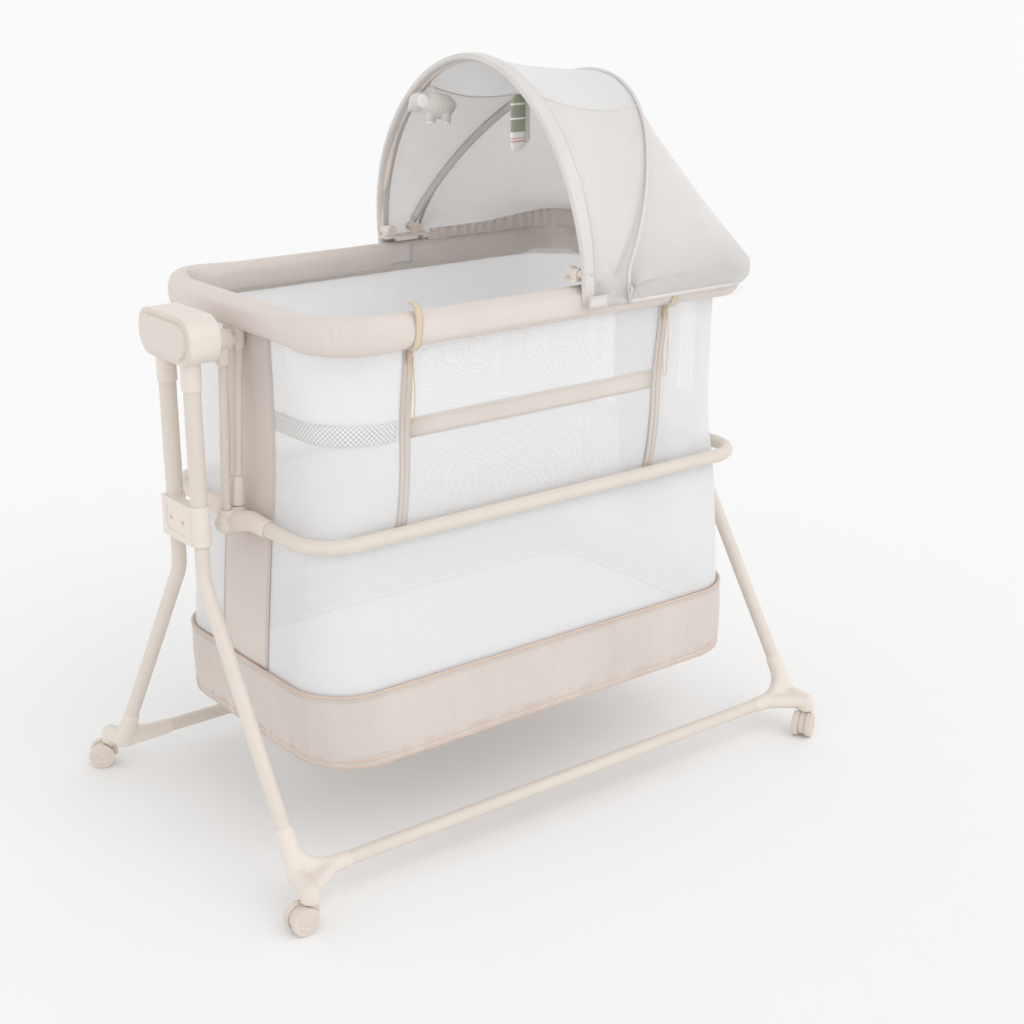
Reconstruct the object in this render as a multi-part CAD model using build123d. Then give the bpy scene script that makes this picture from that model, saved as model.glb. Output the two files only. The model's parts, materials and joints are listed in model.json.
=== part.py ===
from build123d import *
from math import cos, pi, radians, sin
import os

os.makedirs("parts", exist_ok=True)

# Bassinet on a rocking stand, in millimetres. The origin is on the floor under the
# centre, +X points to the canopy end, -Y is the zip side and +Z is up.

# Stand
JUNCTION_X, JUNCTION_Y, JUNCTION_Z = 500.0, 278.0, 60.0   # where a leg meets its bottom rail
LEG_X, LEG_Y = 496.0, 37.0                                # the upright part of each leg
LEG_BEND_Z, LEG_BEND_R = 437.0, 60.0
LOWER_TUBE_R, UPPER_TUBE_R, TUBE_WALL = 11.0, 12.5, 1.3
LOWER_LEG_TOP_Z = 640.0
RAIL_R = 11.0
BRACKET_Z = (491.0, 551.0)
BRACKET_SLEEVE_R = 15.0
BRACKET_FACE_X = 513.0

# Foot and caster
STEM_X, STEM_Y = 506.0, 318.0
FOOT_BOTTOM_Z = 43.0
FOOT_COLUMN_R = 14.5
STEM_R, STEM_CLEARANCE = 4.0, 0.05
STEM_TOP_Z = 70.0
WHEEL_R, WHEEL_WIDTH, HOOD_WIDTH = 21.0, 11.0, 11.0
CASTER_TRAIL = 15.0
AXLE_R = 3.0
# heading of each caster's trail, degrees from +X
CASTERS = {
    "front_left": (-1, -1, 180.0),
    "front_right": (1, -1, 210.0),
    "rear_left": (-1, 1, 150.0),
    "rear_right": (1, 1, 30.0),
}

# Swing housing at the top of each end frame
PIVOT_Z = 776.0
HOUSING_X = (467.0, 513.0)
HOUSING_CENTRE_Z = 794.0
HOUSING_HALF_Y, HOUSING_HALF_Z = 76.0, 34.0
HOUSING_WALL = 3.0
CAP_FACE_X = 521.0
CAP_HALF_Y, CAP_HALF_Z = 66.0, 25.0
SOCKET_R, SOCKET_BOTTOM_Z = 14.5, 721.0
SHAFT_R, BEARING_R = 6.0, 11.0
SHAFT_X = (406.5, 504.0)
SHAFT_CLEARANCE = 0.05

# Cradle frame
RING = (414.6, 223.5, 62.0)      # half length, half width, corner radius of the tube's centre line
RING_Z, RING_TUBE_R = 511.0, 11.0
RING_SPLIT_Y = 70.0              # where each ring tube goes into its joint
KNUCKLE_X, KNUCKLE_Z, KNUCKLE_R = 436.0, 501.0, 16.0
HANGER_TOP_X, HANGER_BOTTOM_X = 425.0, 434.0
HANGER_HEAD_BOTTOM_Z = 741.0
HANGER_TUBE_R = 7.0
POST_TOP_X, POST_R = 397.0, 7.0
RIM = (392.0, 242.0, 72.0)
RIM_Z, RIM_TUBE_R = 815.0, 8.0
RIM_HALF_WIDTH, RIM_HALF_HEIGHT = 21.0, 29.0

# Soft body: height, half length, half width and corner radius of each level
MESH_LEVELS = (
    (785.0, 384.0, 234.0, 66.0),
    (650.0, 377.0, 222.0, 68.0),
    (RING_Z, 392.5, 207.0, 50.0),
    (280.5, 414.0, 228.0, 88.0),
)
BAND_TOP = (280.0, 417.0, 231.0, 91.0)
BAND_BOTTOM = (166.0, 413.0, 237.0, 95.0)
MESH_WALL, BAND_WALL, SKIN = 2.5, 4.0, 2.0
BOARD_TOP_Z, MATTRESS_TOP_Z = 174.0, 222.0
PANEL_HALF_WIDTH = 67.0
ZIP_X = (-265.0, 215.0)
ZIP_WIDTH = 18.0
CROSS_BAND_Z = (651.0, 680.0)
SLIDER_Z = 776.0

# Canopy: foot position, half width, height and lean of each hoop
HOOP_FRONT = (30.0, 856.0, 262.0, 291.0, 0.0)
HOOP_REAR = (86.0, 856.0, 262.0, 313.0, 34.5)
HOOP_R, HOOP_POWER = 4.5, 1.9
PIVOT_BOSS_R, PIVOT_PIN_R = 6.0, 3.0
COVER_GAP, COVER_WALL = 6.0, 2.5
COVER_HEM_Z, SHOULDER_START_X = 806.0, 200.0
HEM_HALF_WIDTH, HEM_SIDE_END_X, HEM_END_X, HEM_POWER = 271.0, 250.0, 432.0, 8.0
CLAMP_JAW_X = (40.0, 56.0)
TOY_Y, TOY_STRING_TOP_Z, TOY_STRING_R = 110.0, 1109.3, 1.0

ENDS = {"left": -1, "right": 1}


def save(node, shape):
    """Write one node, as one solid or as a group of separate solids."""
    solids = shape.solids()
    out = solids[0] if len(solids) == 1 else Compound(children=list(solids))
    export_step(out, f"parts/{node}.step")


def rod(start, end, radius, end_radius=None):
    """A round bar, or a cone, from one point to another."""
    a, b = Vector(*start), Vector(*end)
    plane = Plane(origin=a, z_dir=b - a)
    length = (b - a).length
    if end_radius is None:
        return plane * Cylinder(radius, length, align=(Align.CENTER, Align.CENTER, Align.MIN))
    return plane * Cone(radius, end_radius, length, align=(Align.CENTER, Align.CENTER, Align.MIN))


def block(low, high):
    """A box between two corners, given in any order."""
    lo = [min(a, b) for a, b in zip(low, high)]
    hi = [max(a, b) for a, b in zip(low, high)]
    return Pos(*lo) * Box(*[h - l for l, h in zip(lo, hi)], align=(Align.MIN,) * 3)


def tube(points, bend_radius, radius, wall):
    """A bent tube along straight runs joined by tangent arcs."""
    path = FilletPolyline(*points, radius=bend_radius)
    start = Plane(origin=path @ 0, z_dir=path % 0)
    outer = sweep(start * Circle(radius), path=path)
    inner = sweep(start * Circle(radius - wall), path=path)
    return outer - inner


def slab(half_x, half_y, corner, z, height):
    """A plate with a rounded rectangular outline."""
    return extrude(Pos(0, 0, z) * RectangleRounded(2 * half_x, 2 * half_y, corner), height)


def body_loft(levels, offset):
    """A stack of straight lofts through rounded rectangles, all grown by one offset."""
    out = None
    for (z0, x0, y0, r0), (z1, x1, y1, r1) in zip(levels[:-1], levels[1:]):
        upper = Pos(0, 0, z0) * RectangleRounded(2 * (x0 + offset), 2 * (y0 + offset), r0 + offset)
        lower = Pos(0, 0, z1) * RectangleRounded(2 * (x1 + offset), 2 * (y1 + offset), r1 + offset)
        part = loft([lower, upper], ruled=True)
        out = part if out is None else out + part
    return out


# ---------------------------------------------------------------- stand

def leg_points(sx, sy):
    foot = (sx * JUNCTION_X, sy * JUNCTION_Y, JUNCTION_Z)
    bend = (sx * LEG_X, sy * LEG_Y, LEG_BEND_Z)
    top = (sx * LEG_X, sy * LEG_Y, LOWER_LEG_TOP_Z)
    return foot, bend, top


def lower_leg(sx, sy):
    return tube(leg_points(sx, sy), LEG_BEND_R, LOWER_TUBE_R, TUBE_WALL)


def leg_sockets_void(sx, radius, top_z):
    """Bars where both upper legs of one end run, for cutting their sockets."""
    low = BRACKET_Z[0]
    bars = [rod((sx * LEG_X, y, low), (sx * LEG_X, y, top_z), radius) for y in (-LEG_Y, LEG_Y)]
    return bars[0] + bars[1]


def upper_legs(sx):
    """The two upper tubes of one end, which slide over the lower ones."""
    outer = leg_sockets_void(sx, UPPER_TUBE_R, 806.0)
    inner = leg_sockets_void(sx, LOWER_TUBE_R + 0.2, 806.0)
    below = block((-600, -100, 0), (600, 100, 520))
    return outer - inner - below


def base_rail(sy):
    half = JUNCTION_X - 20.0
    bar = rod((-half, sy * JUNCTION_Y, JUNCTION_Z), (half, sy * JUNCTION_Y, JUNCTION_Z), RAIL_R)
    bore = rod((-half, sy * JUNCTION_Y, JUNCTION_Z), (half, sy * JUNCTION_Y, JUNCTION_Z), RAIL_R - TUBE_WALL)
    return bar - bore


def foot(sx, sy):
    """Moulded foot: a leg arm, a rail arm and an arm out to the caster column."""
    junction = Vector(sx * JUNCTION_X, sy * JUNCTION_Y, JUNCTION_Z)
    bend = Vector(sx * LEG_X, sy * LEG_Y, LEG_BEND_Z)
    up_leg = (bend - junction).normalized()
    arm_end = junction + up_leg * 62
    body = Pos(*junction) * Sphere(15.8)
    body += rod(junction, arm_end, 16.0, 13.2)
    rail_end = (junction.X - sx * 78, junction.Y, junction.Z)
    body += rod(junction, rail_end, 15.5, 13.5)
    body += block((junction.X - sx * 84, junction.Y - 10, FOOT_BOTTOM_Z + 3),
                  (junction.X, junction.Y + 10, JUNCTION_Z))
    column = (sx * STEM_X, sy * STEM_Y, FOOT_BOTTOM_Z)
    column_top = (sx * STEM_X, sy * STEM_Y, JUNCTION_Z + 2)
    body += rod(column, column_top, FOOT_COLUMN_R)
    body += Pos(*column_top) * Sphere(FOOT_COLUMN_R)
    body += rod(junction, column_top, 16.0, FOOT_COLUMN_R)
    web_far = (column[0] - sx * 30, sy * (JUNCTION_Y - 2), JUNCTION_Z)
    body += block((column[0] + sx * 6, column[1], FOOT_BOTTOM_Z), web_far)
    body = body & block((-700, -500, FOOT_BOTTOM_Z), (700, 500, 200))
    # sockets for the leg, the rail and the caster's stem
    body -= rod(junction, junction + up_leg * 120, LOWER_TUBE_R)
    rail_socket = (junction.X - sx * 20, junction.Y, junction.Z)
    body -= rod(rail_socket, (junction.X - sx * 120, junction.Y, junction.Z), RAIL_R)
    stem_hole = rod((column[0], column[1], 0), (column[0], column[1], STEM_TOP_Z + 1), STEM_R + STEM_CLEARANCE)
    body -= stem_hole
    return max(body.solids(), key=lambda s: s.volume)


def leg_trimmed(sx, sy):
    """The lower leg, cut to start inside its foot's socket."""
    keep = block((-700, -500, FOOT_BOTTOM_Z + 14), (700, 500, 900))
    return lower_leg(sx, sy) & keep


def leg_bracket(sx):
    """The clamp that ties the two uprights of one end, with a flat outer plate."""
    z0, z1 = BRACKET_Z
    body = block((sx * LEG_X, -LEG_Y, z0), (sx * BRACKET_FACE_X, LEG_Y + 10, z1))
    for y in (-LEG_Y, LEG_Y):
        body += rod((sx * LEG_X, y, z0), (sx * LEG_X, y, z1), BRACKET_SLEEVE_R)
    body -= leg_sockets_void(sx, UPPER_TUBE_R, 600)
    recess = extrude(Plane(origin=(sx * BRACKET_FACE_X, 4, (z0 + z1) / 2), x_dir=(0, 1, 0),
                           z_dir=(sx, 0, 0)) * RectangleRounded(62, 38, 9), -1.2)
    return body - recess


def stadium(half_y, half_z, corner, x0, x1, centre_z):
    """A rounded block, flat at both ends, running along X."""
    plane = Plane(origin=(x0, 0, centre_z), x_dir=(0, 1, 0), z_dir=(1, 0, 0))
    return extrude(plane * RectangleRounded(2 * half_y, 2 * half_z, corner), x1 - x0)


def housing_shell(sx):
    x_in, x_out = sx * HOUSING_X[0], sx * HOUSING_X[1]
    shell = stadium(HOUSING_HALF_Y, HOUSING_HALF_Z, 30, x_in, x_out, HOUSING_CENTRE_Z)
    cavity = stadium(HOUSING_HALF_Y - HOUSING_WALL, HOUSING_HALF_Z - HOUSING_WALL, 27,
                     x_in + sx * HOUSING_WALL, x_out, HOUSING_CENTRE_Z)
    shell -= cavity
    shell -= leg_sockets_void(sx, SOCKET_R, HOUSING_CENTRE_Z)
    return shell - rod((x_in - sx, 0, PIVOT_Z), (x_out, 0, PIVOT_Z), BEARING_R + 3)


def housing_cap(sx):
    """The outer lid: a rim plate and a smaller raised face."""
    x_out, x_face = sx * HOUSING_X[1], sx * CAP_FACE_X
    plate = stadium(HOUSING_HALF_Y, HOUSING_HALF_Z, 30, x_out, x_out + sx * 2.5, HOUSING_CENTRE_Z)
    return plate + stadium(CAP_HALF_Y, CAP_HALF_Z, 24, x_out, x_face, HOUSING_CENTRE_Z)


def pivot_block(sx):
    """The moulding inside a housing: it grips both uprights and holds the bearing."""
    x_in, x_out = sx * (HOUSING_X[0] + HOUSING_WALL), sx * (HOUSING_X[1] - 1)
    body = stadium(HOUSING_HALF_Y - HOUSING_WALL - 0.5, HOUSING_HALF_Z - HOUSING_WALL - 0.5, 26,
                   x_in + sx * 0.5, x_out, HOUSING_CENTRE_Z)
    for y in (-LEG_Y, LEG_Y):
        body += rod((sx * LEG_X, y, SOCKET_BOTTOM_Z), (sx * LEG_X, y, HOUSING_CENTRE_Z), SOCKET_R)
    body -= leg_sockets_void(sx, UPPER_TUBE_R, 806.0)
    return body - rod((sx * HOUSING_X[0], 0, PIVOT_Z), (x_out, 0, PIVOT_Z), BEARING_R)


def pivot_bearing(sx):
    x_in = sx * (HOUSING_X[0] + HOUSING_WALL + 0.5)
    outer = rod((x_in, 0, PIVOT_Z), (sx * 505, 0, PIVOT_Z), BEARING_R)
    outer += rod((x_in - sx * 2.3, 0, PIVOT_Z), (x_in, 0, PIVOT_Z), BEARING_R + 2.5)
    return outer - rod((sx * 460, 0, PIVOT_Z), (sx * 510, 0, PIVOT_Z), SHAFT_R + SHAFT_CLEARANCE)


def bracket_screws(sx):
    """Two countersunk screws through the bracket's outer plate, into its sleeves."""
    x = sx * (BRACKET_FACE_X - 1.2)
    return [rod((x, y, 521), (x + sx * 1.0, y, 521), 3.0) for y in (-14, 22)]


# ---------------------------------------------------------------- casters

def caster_hood(sx, sy, heading):
    """Stem, collar and the fin between the two wheels, at one swivel angle."""
    width = HOOD_WIDTH
    fin = Plane(origin=(0, 0, WHEEL_R), z_dir=(0, 1, 0)) * Cylinder(WHEEL_R - 3.5, width)
    fin = Pos(CASTER_TRAIL, 0, 0) * fin
    neck = block((-11, -width / 2, 20), (CASTER_TRAIL, width / 2, 40.5))
    collar = rod((0, 0, 37.5), (0, 0, FOOT_BOTTOM_Z - 0.6), 11.5)
    stem = rod((0, 0, 30), (0, 0, STEM_TOP_Z), STEM_R)
    body = (fin & block((-40, -20, 4), (60, 20, 40.5))) + neck + collar
    body -= rod((0, 0, 42), (0, 0, 50), 20)
    body += collar + stem
    hub = Plane(origin=(CASTER_TRAIL, 0, WHEEL_R), z_dir=(0, 1, 0))
    body -= hub * Cylinder(AXLE_R + 0.05, 60)
    for side in (-1, 1):
        body -= hub * Pos(0, 0, side * (width / 2 + 10)) * Cylinder(WHEEL_R + 0.6, 20)
    return Pos(sx * STEM_X, sy * STEM_Y, 0) * Rot(0, 0, heading) * body


def caster_wheels(sx, sy, heading):
    """Two wheels and the axle that carries them."""
    hub = Plane(origin=(CASTER_TRAIL, 0, WHEEL_R), z_dir=(0, 1, 0))
    axle = hub * Cylinder(AXLE_R, HOOD_WIDTH + 2 * WHEEL_WIDTH - 4)
    parts = [axle]
    for side in (-1, 1):
        centre = side * (HOOD_WIDTH / 2 + 0.5 + WHEEL_WIDTH / 2)
        wheel = hub * Pos(0, 0, centre) * Cylinder(WHEEL_R, WHEEL_WIDTH)
        wheel = fillet(wheel.edges().filter_by(GeomType.CIRCLE), 2.0)
        parts.append(wheel - axle)
    place = Pos(sx * STEM_X, sy * STEM_Y, 0) * Rot(0, 0, heading)
    return Compound(children=[place * s for p in parts for s in p.solids()])


# ---------------------------------------------------------------- cradle frame

def half_ring(dims, z, sy, split_y):
    """Corner points of one half of a rounded frame, for its bent tube."""
    half_x, half_y, _ = dims
    return ((-half_x, sy * split_y, z), (-half_x, sy * half_y, z),
            (half_x, sy * half_y, z), (half_x, sy * split_y, z))


def ring_joint(sx):
    """The knuckle under a hanger, with an arm to each ring tube and a stub for the post."""
    knuckle = (sx * KNUCKLE_X, 0, KNUCKLE_Z)
    body = Pos(*knuckle) * Sphere(KNUCKLE_R)
    body += rod((sx * HANGER_BOTTOM_X, 0, KNUCKLE_Z), (sx * HANGER_BOTTOM_X, 0, RING_Z + 12), 12.5)
    for sy in (-1, 1):
        near = (sx * (RING[0] + 12), sy * 8, KNUCKLE_Z + 4)
        mid = (sx * RING[0], sy * 40, RING_Z)
        body += rod(near, mid, KNUCKLE_R, 15.2)
        body += Pos(*mid) * Sphere(15.2)
        body += rod(mid, (sx * RING[0], sy * (RING_SPLIT_Y + 22), RING_Z), 15.2, 13.0)
        body -= rod((sx * RING[0], sy * RING_SPLIT_Y, RING_Z), (sx * RING[0], sy * 150, RING_Z), RING_TUBE_R)
    body += rod((sx * RING[0], 0, RING_Z - 8), (sx * RING[0], 0, RING_Z + 14), 11.0)
    body += block((sx * (RING[0] - 9), -20, RING_Z - 9), (sx * (RING[0] + 20), 20, RING_Z + 7))
    body -= post_bar(sx, POST_R)
    return body - rod(*hanger_line(sx), HANGER_TUBE_R)


def hanger_line(sx):
    return (sx * HANGER_BOTTOM_X, 0, RING_Z - 3), (sx * HANGER_TOP_X, 0, HANGER_HEAD_BOTTOM_Z + 14)


def hanger_tube(sx):
    start, end = hanger_line(sx)
    return rod(start, end, HANGER_TUBE_R) - rod(start, end, HANGER_TUBE_R - TUBE_WALL)


def hanger_head(sx):
    """The moulding that hangs on the pivot shaft and grips the hanger tube."""
    x = sx * HANGER_TOP_X
    half = 10.5
    body = rod((x, 0, HANGER_HEAD_BOTTOM_Z), (x, 0, PIVOT_Z), 10.8)
    body += rod((x - half, 0, PIVOT_Z), (x + half, 0, PIVOT_Z), 15.0)
    body -= rod((sx * 380, 0, PIVOT_Z), (sx * 460, 0, PIVOT_Z), SHAFT_R)
    return body - rod(*hanger_line(sx), HANGER_TUBE_R)


def pivot_shaft(sx):
    return rod((sx * SHAFT_X[0], 0, PIVOT_Z), (sx * SHAFT_X[1], 0, PIVOT_Z), SHAFT_R)


def post_line(sx):
    return (sx * RING[0], 0, RING_Z + 2), (sx * POST_TOP_X, 0, 800)


def post_bar(sx, radius):
    return rod(*post_line(sx), radius)


def rim_post(sx):
    return post_bar(sx, POST_R) - post_bar(sx, POST_R - TUBE_WALL)


def post_sleeve(sx):
    """The plastic collar at the foot of a post, above its ring joint."""
    low, high = Vector(*post_line(sx)[0]), Vector(*post_line(sx)[1])
    along = (high - low).normalized()
    collar = rod(low + along * 14, low + along * 58, 10.5, 9.5)
    return collar - post_bar(sx, POST_R)


def rim_connector(sx):
    """Boss on the pivot shaft, sleeve on the post and tee for the rim tubes."""
    body = rod((sx * 413, 0, PIVOT_Z), (sx * 398, 0, PIVOT_Z), 9.0)
    low, high = Vector(*post_line(sx)[0]), Vector(*post_line(sx)[1])
    along = (high - low).normalized()
    body += rod(high - along * 38, high, 9.4)
    body += rod((sx * RIM[0], -34, RIM_Z), (sx * RIM[0], 34, RIM_Z), 10.5)
    body += rod(high - along * 6, (sx * RIM[0], 0, RIM_Z), 9.4)
    body -= rod((sx * RIM[0], -40, RIM_Z), (sx * RIM[0], 40, RIM_Z), RIM_TUBE_R)
    body -= post_bar(sx, POST_R)
    return body - rod((sx * SHAFT_X[0], 0, PIVOT_Z), (sx * SHAFT_X[1], 0, PIVOT_Z), SHAFT_R)


# ---------------------------------------------------------------- soft body

def rim_padding():
    """The padded sleeve over the rim tubes."""
    half_x, half_y, corner = RIM
    w, h = RIM_HALF_WIDTH, RIM_HALF_HEIGHT
    outer = slab(half_x + w, half_y + w, corner + w, RIM_Z - h, 2 * h)
    inner = slab(half_x - w, half_y - w, corner - w, RIM_Z - h, 2 * h)
    body = outer - inner
    body = fillet(body.edges().group_by(Axis.Z)[0] + body.edges().group_by(Axis.Z)[-1], w - 1.0)
    channel = None
    for sy in (-1, 1):
        path = FilletPolyline(*half_ring(RIM, RIM_Z, sy, 0), radius=corner)
        start = Plane(origin=path @ 0, z_dir=path % 0)
        half = sweep(start * Circle(RIM_TUBE_R), path=path)
        channel = half if channel is None else channel + half
    body -= channel
    for sx in ENDS.values():
        body -= rod((sx * RIM[0], -34, RIM_Z), (sx * RIM[0], 34, RIM_Z), 10.5)
        low, high = Vector(*post_line(sx)[0]), Vector(*post_line(sx)[1])
        body -= rod(high - (high - low).normalized() * 38, high, 9.4)
        body -= rod(high - (high - low).normalized() * 6, (sx * RIM[0], 0, RIM_Z), 9.4)
    return body


def mesh_body():
    return body_loft(MESH_LEVELS, 0) - body_loft(MESH_LEVELS, -MESH_WALL)


def skin():
    """A thin layer just outside the mesh, from which the sewn bands are cut."""
    return body_loft(MESH_LEVELS, 0.2 + SKIN) - body_loft(MESH_LEVELS, 0.2)


def base_band():
    levels = (BAND_TOP, BAND_BOTTOM)
    return body_loft(levels, 0) - body_loft(levels, -BAND_WALL)


def zip_slider(x):
    """A zip slider with its ribbon pull hanging from it."""
    y = -MESH_LEVELS[0][2] - SKIN - 1.0
    slider = block((x - 5, y - 5, SLIDER_Z - 9), (x + 5, y, SLIDER_Z + 9))
    slider = fillet(slider.edges().filter_by(Axis.Y), 3.0)
    ribbon = block((x - 4, y - 5 - 1.6, SLIDER_Z - 104), (x + 4, y - 5 - 0.4, SLIDER_Z + 5))
    bridge = block((x - 2.5, y - 5.4, SLIDER_Z - 2), (x + 2.5, y - 5, SLIDER_Z + 2))
    return slider + bridge + ribbon


# ---------------------------------------------------------------- canopy

def arch(foot_x, foot_z, half_width, height, lean, grow):
    """Points of a leaning arch, from its front foot over the top to its rear foot."""
    points = []
    steps = 12
    for i in range(steps + 1):
        a = pi * i / steps
        across = abs(cos(a)) ** (2 / HOOP_POWER) * (half_width + grow) * (-1 if cos(a) > 0 else 1)
        up = max(sin(a), 0) ** (2 / HOOP_POWER) * (height + grow)
        points.append((foot_x + up * sin(radians(lean)), across, foot_z + up * cos(radians(lean))))
    return points


def hoop(dims):
    path = Spline(*arch(*dims, 0), tangents=[hoop_direction(dims), -hoop_direction(dims)])
    return sweep(Plane(origin=path @ 0, z_dir=path % 0) * Circle(HOOP_R), path=path)


def hoop_direction(dims):
    lean = radians(dims[4])
    return Vector(sin(lean), 0, cos(lean))


def arch_face(dims, grow, drop_z):
    """A leaning arch closed by straight legs down to one height."""
    points = [Vector(*p) for p in arch(*dims, grow)]
    way = hoop_direction(dims)
    drop = (points[0].Z - drop_z) / way.Z
    low_front, low_rear = points[0] - way * drop, points[-1] - way * drop
    top = Spline(*points, tangents=[way, -way])
    edges = [Line(low_front, points[0]), top, Line(points[-1], low_rear), Line(low_rear, low_front)]
    return make_face(Wire([e.edge() for e in edges]))


def hem_face(grow, z):
    """The canopy's hem around the head end, outside the rim, closed by a straight front."""
    start_x = arch_face(HOOP_REAR, grow, z).bounding_box().min.X + 1.0
    length = HEM_END_X - HEM_SIDE_END_X + grow
    half = HEM_HALF_WIDTH + grow
    points = []
    steps = 16
    for i in range(steps + 1):
        a = pi * i / steps
        y = abs(cos(a)) ** (2 / HEM_POWER) * half * (-1 if cos(a) > 0 else 1)
        x = HEM_SIDE_END_X + max(sin(a), 0) ** (2 / HEM_POWER) * length
        points.append(Vector(x, y, z))
    front, rear = Vector(start_x, -half, z), Vector(start_x, half, z)
    end = Spline(*points, tangents=[Vector(1, 0, 0), Vector(-1, 0, 0)])
    edges = [Line(front, points[0]), end, Line(points[-1], rear), Line(rear, front)]
    return make_face(Wire([e.edge() for e in edges]))


def rim_shoulder(gap):
    """The rim's outline at the head end, grown by a gap, which the cloth has to clear."""
    w, top = RIM_HALF_WIDTH + gap, RIM_Z + RIM_HALF_HEIGHT + gap
    solid = slab(RIM[0] + w, RIM[1] + w, RIM[2] + w, COVER_HEM_Z, top - COVER_HEM_Z)
    solid = fillet(solid.edges().group_by(Axis.Z)[-1], RIM_HALF_WIDTH - 2.0)
    return solid & block((SHOULDER_START_X, -400, 0), (600, 400, 900))


def cover_front():
    """Cloth between the two hoops, open at the front and underneath."""
    outer = loft([arch_face(HOOP_FRONT, COVER_GAP + COVER_WALL, COVER_HEM_Z),
                  arch_face(HOOP_REAR, COVER_GAP + COVER_WALL, COVER_HEM_Z)], ruled=True)
    inner = loft([arch_face(HOOP_FRONT, COVER_GAP, COVER_HEM_Z - 4),
                  arch_face(HOOP_REAR, COVER_GAP, COVER_HEM_Z - 4)], ruled=True)
    return outer - inner


def cover_rear():
    """Cloth from the rear hoop down to the hem around the head end, open underneath."""
    shells = []
    for grow in (COVER_WALL, 0):
        hoop_edge = arch_face(HOOP_REAR, COVER_GAP + grow, COVER_HEM_Z)
        dome = loft([hoop_edge, hem_face(grow, COVER_HEM_Z - 1.0)], ruled=True)
        shells.append(dome + rim_shoulder(0.6 + grow))
    return shells[0] - shells[1]


def hoop_with_bosses(dims):
    """A hoop with a pivot boss at each foot."""
    body = hoop(dims)
    for sy in (-1, 1):
        body += rod((dims[0], sy * 254, dims[1]), (dims[0], sy * 266, dims[1]), PIVOT_BOSS_R)
    return body - rod((dims[0], -280, dims[1]), (dims[0], 280, dims[1]), PIVOT_PIN_R + 0.05)


def canopy_clamp(sy):
    """Saddle on the rim with an ear and a pin for each hoop, and a jaw over the outside."""
    z = RIM_Z + RIM_HALF_HEIGHT + 0.3
    body = block((16, sy * 228, z), (100, sy * 253, z + 3.5))
    body = fillet(body.edges().filter_by(Axis.Z), 6.0)
    x0, x1 = CLAMP_JAW_X
    outer_y = RIM[1] + RIM_HALF_WIDTH
    body += block((x0, sy * 250, z), (x1, sy * (outer_y + 3.4), z + 3.5))
    body += block((x0, sy * (outer_y + 0.4), z - 28), (x1, sy * (outer_y + 3.4), z + 3.5))
    for x, pivot_z in ((HOOP_FRONT[0], HOOP_FRONT[1]), (HOOP_REAR[0], HOOP_REAR[1])):
        body += block((x - 8, sy * 240, z), (x + 8, sy * 253, pivot_z))
        body += rod((x, sy * 240, pivot_z), (x, sy * 253, pivot_z), 8.0)
        body += rod((x, sy * 250, pivot_z), (x, sy * 266, pivot_z), PIVOT_PIN_R)
    knob_x, knob_z = HOOP_FRONT[0], HOOP_FRONT[1]
    knob = rod((knob_x, sy * 232, knob_z), (knob_x, sy * 240, knob_z), 9.5)
    return body + knob


# ---------------------------------------------------------------- toys

def toy_animal():
    """A plush animal on a short string, turned to face the foot end's near corner."""
    top = (HOOP_FRONT[0], TOY_Y, TOY_STRING_TOP_Z)
    lengthwise = Rot(0, 90, 0)
    body = Pos(2, 0, -39) * lengthwise * Sphere(21)
    body += rod((1, 1, -26), (0, 0, 0), TOY_STRING_R)
    body += Pos(-14, 0, -39.5) * lengthwise * Sphere(20)
    body += Pos(24, 0, -33) * lengthwise * Sphere(16)
    body += rod((24, 0, -36), (38, 0, -38), 14, 12)
    for x in (-21, 3):
        for y in (-10.5, 10.5):
            body += Pos(x, y, -60) * Rot(0, 0, 23) * Cylinder(7, 16)
    return Pos(*top) * Rot(0, 0, 142) * body


def toy_panel():
    """A flat cloth toy on a short string."""
    top = (HOOP_FRONT[0], -TOY_Y, TOY_STRING_TOP_Z)
    body = Pos(0, 0, -48) * Box(46, 12, 84)
    body = fillet(body.edges().filter_by(Axis.Y), 14.0)
    body = fillet(body.edges(), 3.0)
    string = rod((0, 0, -8), (0, 0, 0), TOY_STRING_R)
    return Pos(*top) * Rot(0, 0, 5) * (body + string)


def both_ends(make):
    """One group with the same part at the left and the right end."""
    return Compound(children=[s for sx in ENDS.values() for s in make(sx).solids()])


# ---------------------------------------------------------------- nodes

def save_stand():
    for name, (sx, sy, heading) in CASTERS.items():
        save(f"foot_{name}", foot(sx, sy))
        save(f"lower_leg_{name}", leg_trimmed(sx, sy))
        save(f"caster_hood_{name}", caster_hood(sx, sy, heading))
        save(f"caster_wheels_{name}", caster_wheels(sx, sy, heading))
    save("base_rail_front", base_rail(-1))
    save("base_rail_rear", base_rail(1))
    for end, sx in ENDS.items():
        save(f"upper_legs_{end}", upper_legs(sx))
        save(f"leg_bracket_{end}", leg_bracket(sx))
        save(f"housing_shell_{end}", housing_shell(sx))
        save(f"housing_cap_{end}", housing_cap(sx))
    save("pivot_blocks", both_ends(pivot_block))
    save("pivot_bearings", both_ends(pivot_bearing))
    save("bracket_screws", Compound(children=[s for sx in ENDS.values() for s in bracket_screws(sx)]))


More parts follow.
